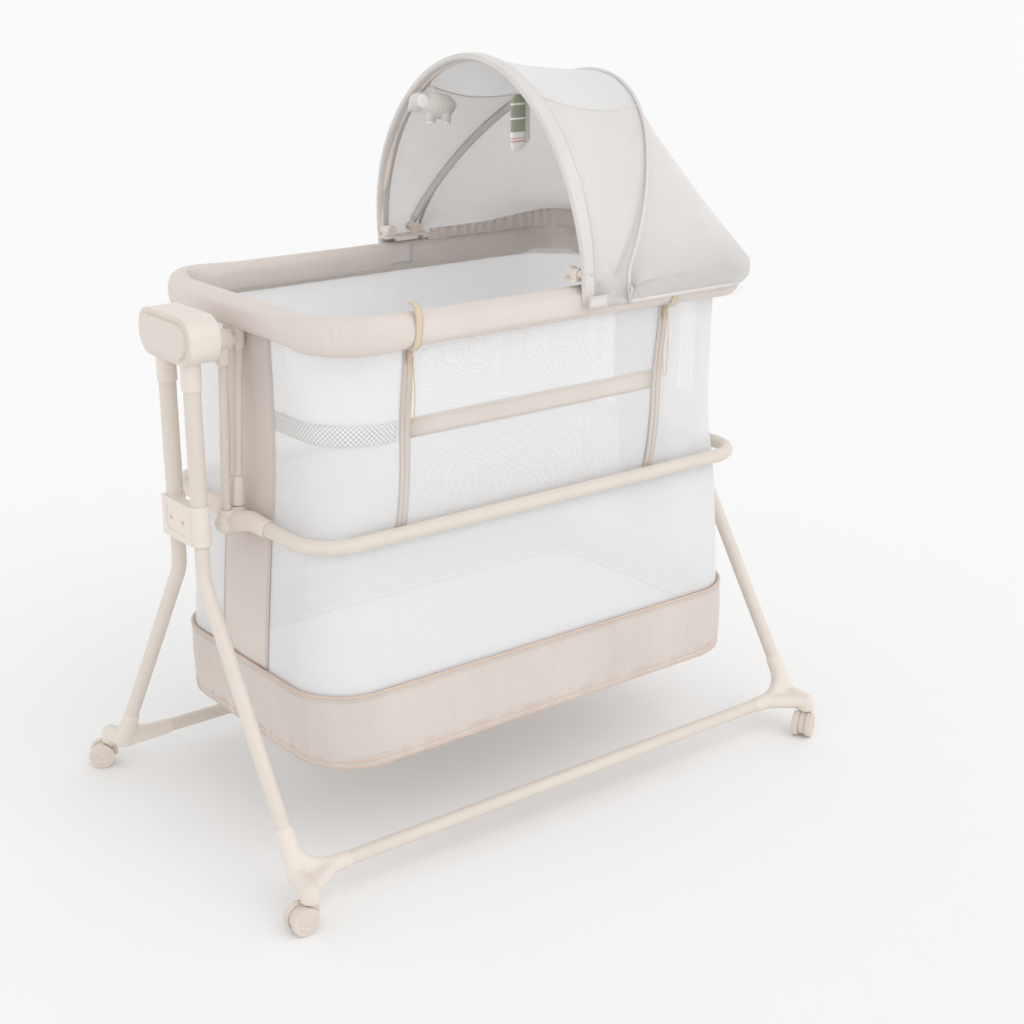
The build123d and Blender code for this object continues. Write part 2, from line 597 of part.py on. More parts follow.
def save_cradle_frame():
    for end, sx in ENDS.items():
        save(f"hanger_head_{end}", hanger_head(sx))
        save(f"ring_joint_{end}", ring_joint(sx))
    save("pivot_shafts", both_ends(pivot_shaft))
    save("hanger_tubes", both_ends(hanger_tube))
    save("rim_connectors", both_ends(rim_connector))
    save("rim_posts", both_ends(rim_post))
    save("post_sleeves", both_ends(post_sleeve))
    for side, sy in (("front", -1), ("rear", 1)):
        save(f"ring_tube_{side}", tube(half_ring(RING, RING_Z, sy, RING_SPLIT_Y), RING[2], RING_TUBE_R, TUBE_WALL))
        save(f"rim_tube_{side}", tube(half_ring(RIM, RIM_Z, sy, 1.0), RIM[2], RIM_TUBE_R, TUBE_WALL))


def save_soft_body():
    save("rim_padding", rim_padding())
    save("mesh_body", mesh_body())
    layer = skin()
    width = PANEL_HALF_WIDTH
    panels = [layer & block((sx * 200, -width, 0), (sx * 600, width, 900)) for sx in ENDS.values()]
    save("end_panels", Compound(children=[s for p in panels for s in p.solids()]))
    front = layer & block((-360, -600, RING_Z + 2), (360, 0, 900))
    half = ZIP_WIDTH / 2
    zips = [front & block((x - half, -600, 0), (x + half, 0, 900)) for x in ZIP_X]
    save("zip_bands", Compound(children=[s for z in zips for s in z.solids()]))
    z0, z1 = CROSS_BAND_Z
    save("cross_band", front & block((ZIP_X[0] + half, -600, z0), (ZIP_X[1] - half, 0, z1)))
    save("base_band", base_band())
    inset = BAND_WALL + 0.5
    board = slab(BAND_BOTTOM[1] - inset, BAND_BOTTOM[2] - inset, BAND_BOTTOM[3] - inset, BAND_BOTTOM[0], 8.0)
    save("base_board", board)
    inset = BAND_WALL + 6.0
    height = MATTRESS_TOP_Z - BOARD_TOP_Z - 0.3
    save("mattress", slab(BAND_BOTTOM[1] - inset, BAND_BOTTOM[2] - inset - 2, BAND_BOTTOM[3] - inset,
                          BOARD_TOP_Z + 0.3, height))
    for side, x in zip(ENDS, ZIP_X):
        save(f"zip_slider_{side}", zip_slider(x))


def save_canopy():
    save("canopy_hoop_front", hoop_with_bosses(HOOP_FRONT))
    save("canopy_hoop_rear", hoop_with_bosses(HOOP_REAR))
    save("canopy_clamp_front", canopy_clamp(-1))
    save("canopy_clamp_rear", canopy_clamp(1))
    save("canopy_cover_front", cover_front())
    save("canopy_cover_rear", cover_rear())
    save("toy_animal", toy_animal())
    save("toy_panel", toy_panel())


save_stand()
save_cradle_frame()
save_soft_body()
save_canopy()
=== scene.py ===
import json
import math

import bmesh
import bpy
import numpy as np
from mathutils import Matrix, Vector, noise


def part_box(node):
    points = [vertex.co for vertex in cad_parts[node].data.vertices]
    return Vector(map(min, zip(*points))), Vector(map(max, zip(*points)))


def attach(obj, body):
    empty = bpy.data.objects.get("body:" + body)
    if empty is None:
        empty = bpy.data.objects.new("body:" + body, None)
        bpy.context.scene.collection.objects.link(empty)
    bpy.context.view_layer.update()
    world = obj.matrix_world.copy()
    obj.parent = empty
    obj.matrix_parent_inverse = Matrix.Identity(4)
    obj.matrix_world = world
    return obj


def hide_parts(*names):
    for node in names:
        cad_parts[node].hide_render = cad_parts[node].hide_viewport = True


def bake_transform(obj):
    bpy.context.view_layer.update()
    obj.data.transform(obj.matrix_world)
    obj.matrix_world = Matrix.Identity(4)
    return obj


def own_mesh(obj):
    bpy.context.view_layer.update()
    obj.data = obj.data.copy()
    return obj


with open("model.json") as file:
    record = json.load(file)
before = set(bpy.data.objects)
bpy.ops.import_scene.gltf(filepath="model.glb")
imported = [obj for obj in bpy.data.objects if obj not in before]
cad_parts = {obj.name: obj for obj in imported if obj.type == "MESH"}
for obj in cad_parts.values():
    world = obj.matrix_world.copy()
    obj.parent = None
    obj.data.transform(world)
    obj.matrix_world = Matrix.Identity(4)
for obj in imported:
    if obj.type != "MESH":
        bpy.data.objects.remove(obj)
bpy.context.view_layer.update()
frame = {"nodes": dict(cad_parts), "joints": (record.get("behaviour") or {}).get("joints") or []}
NODES = frame["nodes"]
JOINTS = {j["name"]: j for j in frame["joints"]}
ENDS = {"left": -1, "right": 1}
CORNERS = ("front_left", "front_right", "rear_left", "rear_right")


# ---------------------------------------------------------------- camera, floor and light

CAMERA_PLACE = (-1.5533, -2.1135, 1.3156)
CAMERA_HEADING, CAMERA_PITCH = 38.07, -18.71     # degrees from +Y towards +X, and above level
CAMERA_LENS = 59.2


def make_camera():
    data = bpy.data.cameras.new("camera")
    data.lens, data.sensor_width = CAMERA_LENS, 36.0
    data.clip_start, data.clip_end = 0.05, 400.0
    camera = bpy.data.objects.new("camera", data)
    bpy.context.scene.collection.objects.link(camera)
    heading, pitch = math.radians(CAMERA_HEADING), math.radians(CAMERA_PITCH)
    look = Vector((math.sin(heading) * math.cos(pitch), math.cos(heading) * math.cos(pitch), math.sin(pitch)))
    camera.location = CAMERA_PLACE
    camera.rotation_mode = "QUATERNION"
    camera.rotation_quaternion = look.to_track_quat("-Z", "Y")
    bpy.context.scene.camera = camera


def make_light():
    scene = bpy.context.scene
    scene.view_settings.view_transform = "Standard"
    world = bpy.data.worlds.new("studio")
    scene.world = world
    world.use_nodes = True
    sky = world.node_tree.nodes["Background"]
    sky.inputs["Color"].default_value = (1.0, 1.0, 1.0, 1.0)
    sky.inputs["Strength"].default_value = 0.62
    # a soft key from the front, and low lamps all round that reach in under the bed
    lamps = [("key", 38, 8, 0.55, 50)] + [(f"low_{turn}", 70, turn, 0.40, 60) for turn in range(0, 360, 60)]
    for name, tilt, turn, strength, spread in lamps:
        data = bpy.data.lights.new(name, "SUN")
        data.energy, data.angle = strength, math.radians(spread)
        lamp = bpy.data.objects.new(name, data)
        lamp.rotation_euler = (math.radians(tilt), 0, math.radians(turn))
        scene.collection.objects.link(lamp)


def make_floor():
    half = 150.0
    data = bpy.data.meshes.new("floor")
    corners = [(-half, -half, 0), (half, -half, 0), (half, half, 0), (-half, half, 0)]
    data.from_pydata(corners, [], [(0, 1, 2, 3)])
    floor = bpy.data.objects.new("floor", data)
    bpy.context.scene.collection.objects.link(floor)
    material = bpy.data.materials.new("floor")
    material.use_nodes = True
    bsdf = material.node_tree.nodes["Principled BSDF"]
    bsdf.inputs["Base Color"].default_value = (0.93, 0.93, 0.93, 1)
    bsdf.inputs["Roughness"].default_value = 0.9
    bsdf.inputs["Specular IOR Level"].default_value = 0.1
    data.materials.append(material)


# ---------------------------------------------------------------- materials

def object_coordinates(tree, scale):
    coordinates = tree.nodes.new("ShaderNodeTexCoord")
    mapping = tree.nodes.new("ShaderNodeMapping")
    mapping.inputs["Scale"].default_value = (scale, scale, scale)
    tree.links.new(coordinates.outputs["Object"], mapping.inputs["Vector"])
    return mapping.outputs["Vector"]


def noise_value(tree, scale, detail=3.0):
    texture = tree.nodes.new("ShaderNodeTexNoise")
    texture.inputs["Scale"].default_value = scale
    texture.inputs["Detail"].default_value = detail
    tree.links.new(object_coordinates(tree, 1.0), texture.inputs["Vector"])
    return texture.outputs["Fac"]


def math_node(tree, operation, first, second):
    node = tree.nodes.new("ShaderNodeMath")
    node.operation = operation
    for socket, value in zip(node.inputs, (first, second)):
        if isinstance(value, (int, float)):
            socket.default_value = value
        else:
            tree.links.new(value, socket)
    return node.outputs[0]


def colour_between(tree, factor, dark, light, low=0.35, high=0.65):
    ramp = tree.nodes.new("ShaderNodeValToRGB")
    ramp.color_ramp.elements[0].position, ramp.color_ramp.elements[1].position = low, high
    ramp.color_ramp.elements[0].color = (*dark, 1)
    ramp.color_ramp.elements[1].color = (*light, 1)
    tree.links.new(factor, ramp.inputs["Fac"])
    return ramp.outputs["Color"]


def add_bump(tree, bsdf, height, strength, distance):
    bump = tree.nodes.new("ShaderNodeBump")
    bump.inputs["Strength"].default_value = strength
    bump.inputs["Distance"].default_value = distance
    tree.links.new(height, bump.inputs["Height"])
    tree.links.new(bump.outputs["Normal"], bsdf.inputs["Normal"])


def shade(colour, amount):
    return tuple(c * amount for c in colour)


def new_material(name, **sockets):
    material = bpy.data.materials.new(name)
    material.use_nodes = True
    bsdf = material.node_tree.nodes["Principled BSDF"]
    for socket, value in sockets.items():
        bsdf.inputs[socket.replace("_", " ")].default_value = value
    return material, material.node_tree, bsdf


def moulded(name, colour, roughness=0.46, grain=700.0, depth=0.10):
    """Moulded plastic or powder-coated steel: faint mottling, fine grain and worn gloss."""
    material, tree, bsdf = new_material(name, Roughness=roughness)
    mottled = colour_between(tree, noise_value(tree, 9.0), shade(colour, 0.965), colour)
    tree.links.new(mottled, bsdf.inputs["Base Color"])
    rough = tree.nodes.new("ShaderNodeMapRange")
    rough.inputs["To Min"].default_value = roughness - 0.05
    rough.inputs["To Max"].default_value = roughness + 0.07
    tree.links.new(noise_value(tree, 40.0), rough.inputs["Value"])
    tree.links.new(rough.outputs["Result"], bsdf.inputs["Roughness"])
    add_bump(tree, bsdf, noise_value(tree, grain, 2.0), depth, 0.0004)
    return material


def weave_height(tree, period):
    """Crossing threads in the three directions of the object's space."""
    total = None
    for direction in "XYZ":
        wave = tree.nodes.new("ShaderNodeTexWave")
        wave.bands_direction = direction
        wave.inputs["Scale"].default_value = 0.314 / period
        wave.inputs["Distortion"].default_value = 0.6
        tree.links.new(object_coordinates(tree, 1.0), wave.inputs["Vector"])
        total = wave.outputs["Fac"] if total is None else math_node(tree, "ADD", total, wave.outputs["Fac"])
    return total


def woven(name, colour, period=0.0016, depth=0.22, sheen=0.25, creases=0.0012, **sockets):
    """Woven cloth: threads, soft creases and slight fading."""
    material, tree, bsdf = new_material(name, Roughness=0.88, Sheen_Weight=sheen, Sheen_Roughness=0.5,
                                        **sockets)
    bsdf.inputs["Specular IOR Level"].default_value = 0.25
    faded = colour_between(tree, noise_value(tree, 7.0), shade(colour, 0.95), colour)
    tree.links.new(faded, bsdf.inputs["Base Color"])
    height = math_node(tree, "MULTIPLY", weave_height(tree, period), 0.0002)
    folds = math_node(tree, "MULTIPLY", noise_value(tree, 22.0, 4.0), creases)
    add_bump(tree, bsdf, math_node(tree, "ADD", height, folds), min(1.0, depth * 3), 1.0)
    return material


def netting(name, colour, pitch, hole, uneven=0.0, through=0.0):
    """Knitted mesh: staggered round holes, on a UV map in metres."""
    material, tree, bsdf = new_material(name, Roughness=0.8, Sheen_Weight=0.2, Subsurface_Weight=through,
                                        Subsurface_Radius=(1.0, 1.0, 1.0), Subsurface_Scale=0.006)
    bsdf.inputs["Specular IOR Level"].default_value = 0.2
    bsdf.inputs["Base Color"].default_value = (*colour, 1)
    uv = tree.nodes.new("ShaderNodeUVMap")
    mapping = tree.nodes.new("ShaderNodeMapping")
    mapping.inputs["Scale"].default_value = (1 / pitch, 1 / pitch, 1)
    mapping.inputs["Rotation"].default_value = (0, 0, math.radians(45))
    cells = tree.nodes.new("ShaderNodeTexVoronoi")
    cells.voronoi_dimensions = "2D"
    cells.inputs["Randomness"].default_value = uneven
    cells.inputs["Scale"].default_value = 1.0
    tree.links.new(uv.outputs["UV"], mapping.inputs["Vector"])
    tree.links.new(mapping.outputs["Vector"], cells.inputs["Vector"])
    thread = tree.nodes.new("ShaderNodeMapRange")
    for socket, value in (("From Min", hole - 0.06), ("From Max", hole + 0.06), ("To Min", 0.07),
                          ("To Max", 1.0)):
        thread.inputs[socket].default_value = value
    tree.links.new(cells.outputs["Distance"], thread.inputs["Value"])
    tree.links.new(thread.outputs["Result"], bsdf.inputs["Alpha"])
    add_bump(tree, bsdf, cells.outputs["Distance"], 0.3, 0.0006)
    return material


def striped(name, bands):
    """Cloth with level stripes: each band is (height in the object's space, colour)."""
    material, tree, bsdf = new_material(name, Roughness=0.9, Sheen_Weight=0.3)
    low, high = bands[0][0], bands[-1][0]
    split = tree.nodes.new("ShaderNodeSeparateXYZ")
    tree.links.new(object_coordinates(tree, 1.0), split.inputs["Vector"])
    place = math_node(tree, "DIVIDE", math_node(tree, "SUBTRACT", split.outputs["Z"], low), high - low)
    ramp = tree.nodes.new("ShaderNodeValToRGB")
    ramp.color_ramp.interpolation = "CONSTANT"
    for index, (z, colour) in enumerate(bands):
        position = (z - low) / (high - low)
        if index < 2:
            element = ramp.color_ramp.elements[index]
            element.position = position
        else:
            element = ramp.color_ramp.elements.new(position)
        element.color = (*colour, 1)
    tree.links.new(place, ramp.inputs["Fac"])
    tree.links.new(ramp.outputs["Color"], bsdf.inputs["Base Color"])
    add_bump(tree, bsdf, weave_height(tree, 0.0012), 0.3, 0.0002)
    return material


CREAM = (0.74, 0.668, 0.598)
CREAM_MOULDED = (0.80, 0.728, 0.66)
BEIGE = (0.755, 0.685, 0.635)
BEIGE_LIGHT = (0.77, 0.725, 0.70)
BEIGE_DEEP = (0.70, 0.56, 0.47)
TAPE = (0.76, 0.61, 0.45)
WHITE = (0.90, 0.90, 0.90)


def make_materials():
    steel, steel_tree, steel_bsdf = new_material("steel", Metallic=1.0, Roughness=0.34)
    steel_bsdf.inputs["Base Color"].default_value = (0.62, 0.60, 0.57, 1)
    add_bump(steel_tree, steel_bsdf, noise_value(steel_tree, 900.0), 0.08, 0.0003)
    return {
        "paint": moulded("frame_paint", CREAM, 0.40, 900.0, 0.06),
        "plastic": moulded("frame_plastic", CREAM_MOULDED, 0.50, 650.0, 0.10),
        "cap": moulded("cap_plastic", shade(CREAM_MOULDED, 0.93), 0.55, 650.0, 0.12),
        "caster": moulded("caster_plastic", (0.73, 0.65, 0.575), 0.42, 800.0, 0.08),
        "steel": steel,
        "rim": woven("rim_cloth", BEIGE, 0.0016),
        "band": woven("band_cloth", shade(BEIGE, 0.92), 0.0016, creases=0.003),
        "panel": woven("panel_cloth", shade(BEIGE, 0.97), 0.0016),
        "canopy": woven("canopy_cloth", BEIGE_LIGHT, 0.0014, sheen=0.15, Subsurface_Weight=0.85,
                        Subsurface_Radius=(1.0, 1.0, 1.0), Subsurface_Scale=0.006),
        "binding": woven("binding_cloth", BEIGE_LIGHT, 0.0014),
        "cross": woven("cross_cloth", (0.74, 0.68, 0.62), 0.0014),
        "piping": woven("piping_cloth", BEIGE_DEEP, 0.0012, creases=0.0),
        "tape": woven("tape_cloth", shade(BEIGE, 0.95), 0.0012, creases=0.0),
        "ribbon": woven("ribbon_cloth", TAPE, 0.0010, creases=0.0, sheen=0.5),
        "thread": woven("thread", shade(BEIGE, 0.86), 0.0006, creases=0.0),
        "mattress": woven("mattress_cloth", WHITE, 0.0022, sheen=0.1),
        "mesh": netting("mesh_white", (0.90, 0.90, 0.905), 0.0017, 0.33, 0.35),
        "mesh_lower": netting("mesh_lower", (0.83, 0.83, 0.84), 0.0017, 0.23, 0.35),
        "mesh_doubled": netting("mesh_doubled", (0.83, 0.825, 0.82), 0.0052, 0.36),
        "window": netting("canopy_mesh", (0.91, 0.905, 0.90), 0.0016, 0.22, 0.35, 0.85),
        "board": woven("board_cloth", shade(BEIGE, 0.9), 0.0018),
        "plush": woven("toy_plush", (0.74, 0.70, 0.66), 0.0030, depth=0.33, sheen=0.7, creases=0.004),
        "plush_light": woven("toy_plush_light", (0.90, 0.88, 0.85), 0.0030, depth=0.33, sheen=0.7,
                             creases=0.004),
        "bead": moulded("toy_bead", (0.05, 0.045, 0.04), 0.25),
    }


# ---------------------------------------------------------------- mesh helpers

def make_piece(name, data, material, body, smooth=True):
    piece = bpy.data.objects.new(name, data)
    bpy.context.scene.collection.objects.link(piece)
    if material is not None:
        data.materials.append(material)
    if smooth:
        data.shade_smooth()
    if body is not None:
        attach(piece, body)
    return piece


def paint(data, material):
    data.materials.clear()
    data.materials.append(material)


def mesh_from(made, name):
    data = bpy.data.meshes.new(name)
    made.to_mesh(data)
    made.free()
    return data


def repair(data, weld=False, cap=0, outward=False):
    """Merges doubled points, caps open ends of up to cap sides, and turns the faces outward."""
    made = bmesh.new()
    made.from_mesh(data)
    if weld:
        bmesh.ops.remove_doubles(made, verts=made.verts, dist=1e-6)
    if cap:
        bmesh.ops.holes_fill(made, edges=made.edges, sides=cap)
    if outward:
        bmesh.ops.recalc_face_normals(made, faces=made.faces)
    made.to_mesh(data)
    made.free()


def thicken(piece, thickness, offset=0.0):
    solid = piece.modifiers.new("solid", "SOLIDIFY")
    solid.thickness, solid.offset = thickness, offset


def subdivide(piece):
    subdivision = piece.modifiers.new("subdivision", "SUBSURF")
    subdivision.levels = subdivision.render_levels = 1


def clamp(value):
    return min(1.0, max(0.0, value))


def grid_mesh(name, rows, closed=False):
    """Quads through rows of points, with a UV map in metres. closed joins each row's ends."""
    count = len(rows[0])
    points = np.array([[tuple(p) for p in row] for row in rows])
    across = np.zeros((len(rows), count + 1))
    ring = np.concatenate([points, points[:, :1]], axis=1)
    across[:, 1:] = np.cumsum(np.linalg.norm(np.diff(ring, axis=1), axis=2), axis=1)
    across[:] = across.mean(0)
    down = np.zeros(len(rows))
    down[1:] = np.cumsum(np.linalg.norm(np.diff(points, axis=0), axis=2).mean(1))
    faces, corners = [], []
    for i in range(len(rows) - 1):
        for j in range(count if closed else count - 1):
            k = (j + 1) % count
            faces.append((i * count + j, i * count + k, (i + 1) * count + k, (i + 1) * count + j))
            corners += [(across[i, j], down[i]), (across[i, j + 1], down[i]),
                        (across[i, j + 1], down[i + 1]), (across[i, j], down[i + 1])]
    data = bpy.data.meshes.new(name)
    data.from_pydata([tuple(p) for p in points.reshape(-1, 3)], [], faces)
    layer = data.uv_layers.new(name="UVMap")
    layer.data.foreach_set("uv", np.array(corners).ravel())
    data.update()
    return data


def outline(half_x, half_y, corner, long_steps=60, short_steps=36, corner_steps=12):
    """Points and outward normals round a rounded rectangle, starting at the front left."""
    found = []
    straight_x, straight_y = half_x - corner, half_y - corner
    sides = (((-straight_x, -half_y), (straight_x, -half_y), (0, -1), long_steps),
             ((half_x, -straight_y), (half_x, straight_y), (1, 0), short_steps),
             ((straight_x, half_y), (-straight_x, half_y), (0, 1), long_steps),
             ((-half_x, straight_y), (-half_x, -straight_y), (-1, 0), short_steps))
    for index, (start, end, normal, steps) in enumerate(sides):
        for i in range(steps):
            t = i / steps
            found.append(((start[0] + (end[0] - start[0]) * t, start[1] + (end[1] - start[1]) * t), normal))
        centre = (straight_x * (1, 1, -1, -1)[index], straight_y * (-1, 1, 1, -1)[index])
        first = math.radians(-90 + 90 * index)
        for i in range(corner_steps):
            a = first + math.radians(90) * i / corner_steps
            way = (math.cos(a), math.sin(a))
            found.append(((centre[0] + corner * way[0], centre[1] + corner * way[1]), way))
    return found


def tube_mesh(name, points, radius, sides=10, closed=False, flat=1.0):
    """A round tube, or a flattened one, along a chain of points."""
    points = [Vector(p) for p in points]
    count = len(points)
    rows, side = [], None
    for i, point in enumerate(points):
        before = points[(i - 1) % count] if closed or i > 0 else point
        after = points[(i + 1) % count] if closed or i < count - 1 else point
        way = (after - before).normalized()
        if side is None:
            side = way.orthogonal().normalized()
        side = (side - way * side.dot(way)).normalized()
        up = way.cross(side)
        size = radius[i] if isinstance(radius, (list, tuple)) else radius
        rows.append([point + side * size * math.cos(2 * math.pi * k / sides)
                     + up * size * flat * math.sin(2 * math.pi * k / sides) for k in range(sides)])
    if closed:
        rows.append(rows[0])
    data = grid_mesh(name, rows, closed=True)
    repair(data, weld=True, cap=sides + 1)
    return data


STITCH_PITCH, STITCH_RADIUS = 0.0045, 0.00035


def stitches(name, points, normals, body, lift=0.0003, closed=False):
    """A row of short threads along a line, lying on the cloth."""
    chain = [Vector(p) for p in points] + ([Vector(points[0])] if closed else [])
    ways = [Vector(n) for n in normals] + ([Vector(normals[0])] if closed else [])
    made = bmesh.new()
    carried = 0.0
    for a, b, normal in zip(chain[:-1], chain[1:], ways):
        length = (b - a).length
        if length < 1e-6:
            continue
        way = (b - a) / length
        while carried < length:
            centre = a + way * carried + normal * lift
            up = normal.normalized()
            side = way.cross(up).normalized()
            half = STITCH_PITCH * 0.31
            ring = []
            for end, size in ((-half, 0.3), (-half * 0.5, 1.0), (half * 0.5, 1.0), (half, 0.3)):
                circle = []
                for k in range(6):
                    turned = side * math.cos(k * math.tau / 6) + up * math.sin(k * math.tau / 6)
                    circle.append(made.verts.new(centre + way * end + turned * STITCH_RADIUS * size))
                ring.append(circle)
            for one, two in zip(ring[:-1], ring[1:]):
                for k in range(6):
                    made.faces.new((one[k], one[(k + 1) % 6], two[(k + 1) % 6], two[k]))
            made.faces.new(ring[0][::-1])
            made.faces.new(ring[-1])
            carried += STITCH_PITCH
        carried -= length
    data = mesh_from(made, name)
    return make_piece(name, data, MATERIALS["thread"], body)


def apply_modifiers(piece):
    graph = bpy.context.evaluated_depsgraph_get()
    data = bpy.data.meshes.new_from_object(piece.evaluated_get(graph))
    piece.modifiers.clear()
    piece.data = data


def voxel_remesh(piece, size, smooth_steps=0):
    remesh = piece.modifiers.new("remesh", "REMESH")
    remesh.mode = "VOXEL"
    remesh.voxel_size = size
    remesh.use_smooth_shade = True
    if smooth_steps:
        smooth = piece.modifiers.new("smooth", "SMOOTH")
        smooth.factor, smooth.iterations = 0.5, smooth_steps
    apply_modifiers(piece)


def coordinates(data):
    found = np.zeros(len(data.vertices) * 3)
    data.vertices.foreach_get("co", found)
    return found.reshape(-1, 3)


def puff(piece, voxel, pressure=4.0, cap=0.008, frames=20, smooth_steps=4, hold=None):
    """Swells a closed cloth shell by simulation. hold names the points that stay, by a test."""
    material = piece.data.materials[0]
    voxel_remesh(piece, voxel, smooth_steps)
    paint(piece.data, material)
    start = coordinates(piece.data)
    cloth = piece.modifiers.new("cloth", "CLOTH")
    settings = cloth.settings
    settings.use_pressure = True
    settings.uniform_pressure_force = pressure
    settings.quality = 4
    settings.mass = 0.3
    settings.tension_stiffness = settings.compression_stiffness = 12.0
    settings.effector_weights.gravity = 0.0
    if hold is not None:
        group = piece.vertex_groups.new(name="hold")
        group.add([i for i, p in enumerate(start) if hold(p)], 1.0, "ADD")
        settings.vertex_group_mass = "hold"
    scene = bpy.context.scene
    scene.frame_start, scene.frame_end = 1, frames
    cloth.point_cache.frame_start, cloth.point_cache.frame_end = 1, frames
    for number in range(1, frames + 1):
        scene.frame_set(number)
    graph = bpy.context.evaluated_depsgraph_get()
    swollen = coordinates(piece.evaluated_get(graph).to_mesh())
    piece.modifiers.remove(cloth)
    moved = swollen - start
    length = np.linalg.norm(moved, axis=1)
    moved *= np.minimum(1.0, cap / np.maximum(length, 1e-9))[:, None]
    piece.data.vertices.foreach_set("co", (start + moved).ravel())
    piece.data.update()
    scene.frame_set(1)


def soften_edges(node, width, segments=3):
    """Rounds a moulding's edges with modifiers, leaving its mesh alone."""
    piece = NODES[node]
    weld = piece.modifiers.new("weld", "WELD")
    weld.merge_threshold = 0.00002
    bevel = piece.modifiers.new("bevel", "BEVEL")
    bevel.width, bevel.segments = width, segments
    bevel.limit_method, bevel.angle_limit = "ANGLE", math.radians(38)
    bevel.harden_normals = False


# ---------------------------------------------------------------- frame

def dress_frame():
    """Materials and softened edges for the parts that keep their CAD shape."""
    plain = {
        "paint": ["base_rail_front", "base_rail_rear", "hanger_tubes", "rim_posts", "ring_tube_front",
                  "ring_tube_rear", "rim_tube_front", "rim_tube_rear"]
        + [f"lower_leg_{corner}" for corner in CORNERS] + [f"upper_legs_{end}" for end in ENDS],
        "steel": ["pivot_shafts", "pivot_bearings", "bracket_screws"],
        "plastic": ["pivot_blocks", "rim_connectors", "post_sleeves", "canopy_clamp_front",
                    "canopy_clamp_rear", "canopy_hoop_front", "canopy_hoop_rear"]
        + [f"{part}_{end}" for part in ("leg_bracket", "housing_shell", "hanger_head") for end in ENDS],
        "cap": [f"housing_cap_{end}" for end in ENDS],
        "caster": [f"{part}_{corner}" for part in ("caster_hood", "caster_wheels") for corner in CORNERS],
    }
    for material, names in plain.items():
        for name in names:
            data = NODES[name].data
            paint(data, MATERIALS[material])
    for end in ENDS:
        soften_edges(f"housing_cap_{end}", 0.0022)
        soften_edges(f"housing_shell_{end}", 0.0014)
        soften_edges(f"leg_bracket_{end}", 0.0016)
    for corner in CORNERS:
        soften_edges(f"caster_hood_{corner}", 0.0008, 2)


def smooth_moulding(node, body, voxel=0.0018, steps=12):
    """A moulding as one flowing shape, over the plain joined solids of the CAD part."""
    data = NODES[node].data.copy()
    data.materials.clear()
    piece = make_piece(f"{node}_moulding", data, MATERIALS["plastic"], None)
    voxel_remesh(piece, voxel, steps)
    paint(piece.data, MATERIALS["plastic"])
    piece.data.shade_smooth()
    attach(piece, body)
    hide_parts(node)


FOOT_REACH = 0.500                       # how far out along x the foot's junction lies
LEG_SOCKET = (0.4994, 0.2430, 0.1146)    # the end of the leg's socket, as distances out, across and up
RAIL_SOCKET = 0.078
WEB_COUNT = 8


def foot_moulding(corner):
    """The foot as one flowing casting: three arms with webs between them."""
    sx, sy = (-1 if corner.endswith("left") else 1), (-1 if corner.startswith("front") else 1)
    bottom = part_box(f"foot_{corner}")[0].z
    rail_low, rail_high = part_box("base_rail_front")
    rail_z, rail_y = (rail_low.z + rail_high.z) / 2, (rail_high.y + rail_low.y) / 2
    junction = Vector((sx * FOOT_REACH, sy * abs(rail_y), rail_z))
    stem_x, stem_y, _ = JOINTS[f"caster_swivel_{corner}"]["pos_m"]
    leg_end = Vector((sx * LEG_SOCKET[0], sy * LEG_SOCKET[1], LEG_SOCKET[2]))
    rail_end = junction - Vector((sx * RAIL_SOCKET, 0, 0))
    made = bmesh.new()

    def arm(start, end, first, last, steps=14):
        for i in range(steps + 1):
            t = i / steps
            bmesh.ops.create_icosphere(made, subdivisions=3, radius=first + (last - first) * t,
                                       matrix=Matrix.Translation(start.lerp(end, t)))

    column_top = Vector((stem_x, stem_y, rail_z - 0.002))
    arm(junction, leg_end, 0.0150, 0.0137)
    arm(junction, rail_end, 0.0148, 0.0132)
    arm(junction, column_top, 0.0155, 0.0140, 8)
    arm(column_top, Vector((stem_x, stem_y, bottom + 0.001)), 0.0142, 0.0146, 8)
    column_low = Vector((stem_x, stem_y, bottom + 0.006))
    for i in range(1, WEB_COUNT):
        t = i / WEB_COUNT
        arm(junction.lerp(leg_end, 0.95 * (1 - t)), junction.lerp(rail_end, 0.95 * t), 0.0122, 0.0122, 9)
        arm(column_top.lerp(column_low, 1 - t), junction.lerp(rail_end, 0.85 * t), 0.0118, 0.0118, 9)
    data = mesh_from(made, f"foot_{corner}_moulding")
    piece = make_piece(f"foot_{corner}_moulding", data, MATERIALS["plastic"], None)
    voxel_remesh(piece, 0.0020, 14)
    co = coordinates(piece.data)
    co[:, 2] = np.maximum(co[:, 2], bottom)      # a flat underside over the caster
    piece.data.vertices.foreach_set("co", co.ravel())
    paint(piece.data, MATERIALS["plastic"])
    piece.data.shade_smooth()
    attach(piece, "stand")
    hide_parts(f"foot_{corner}")


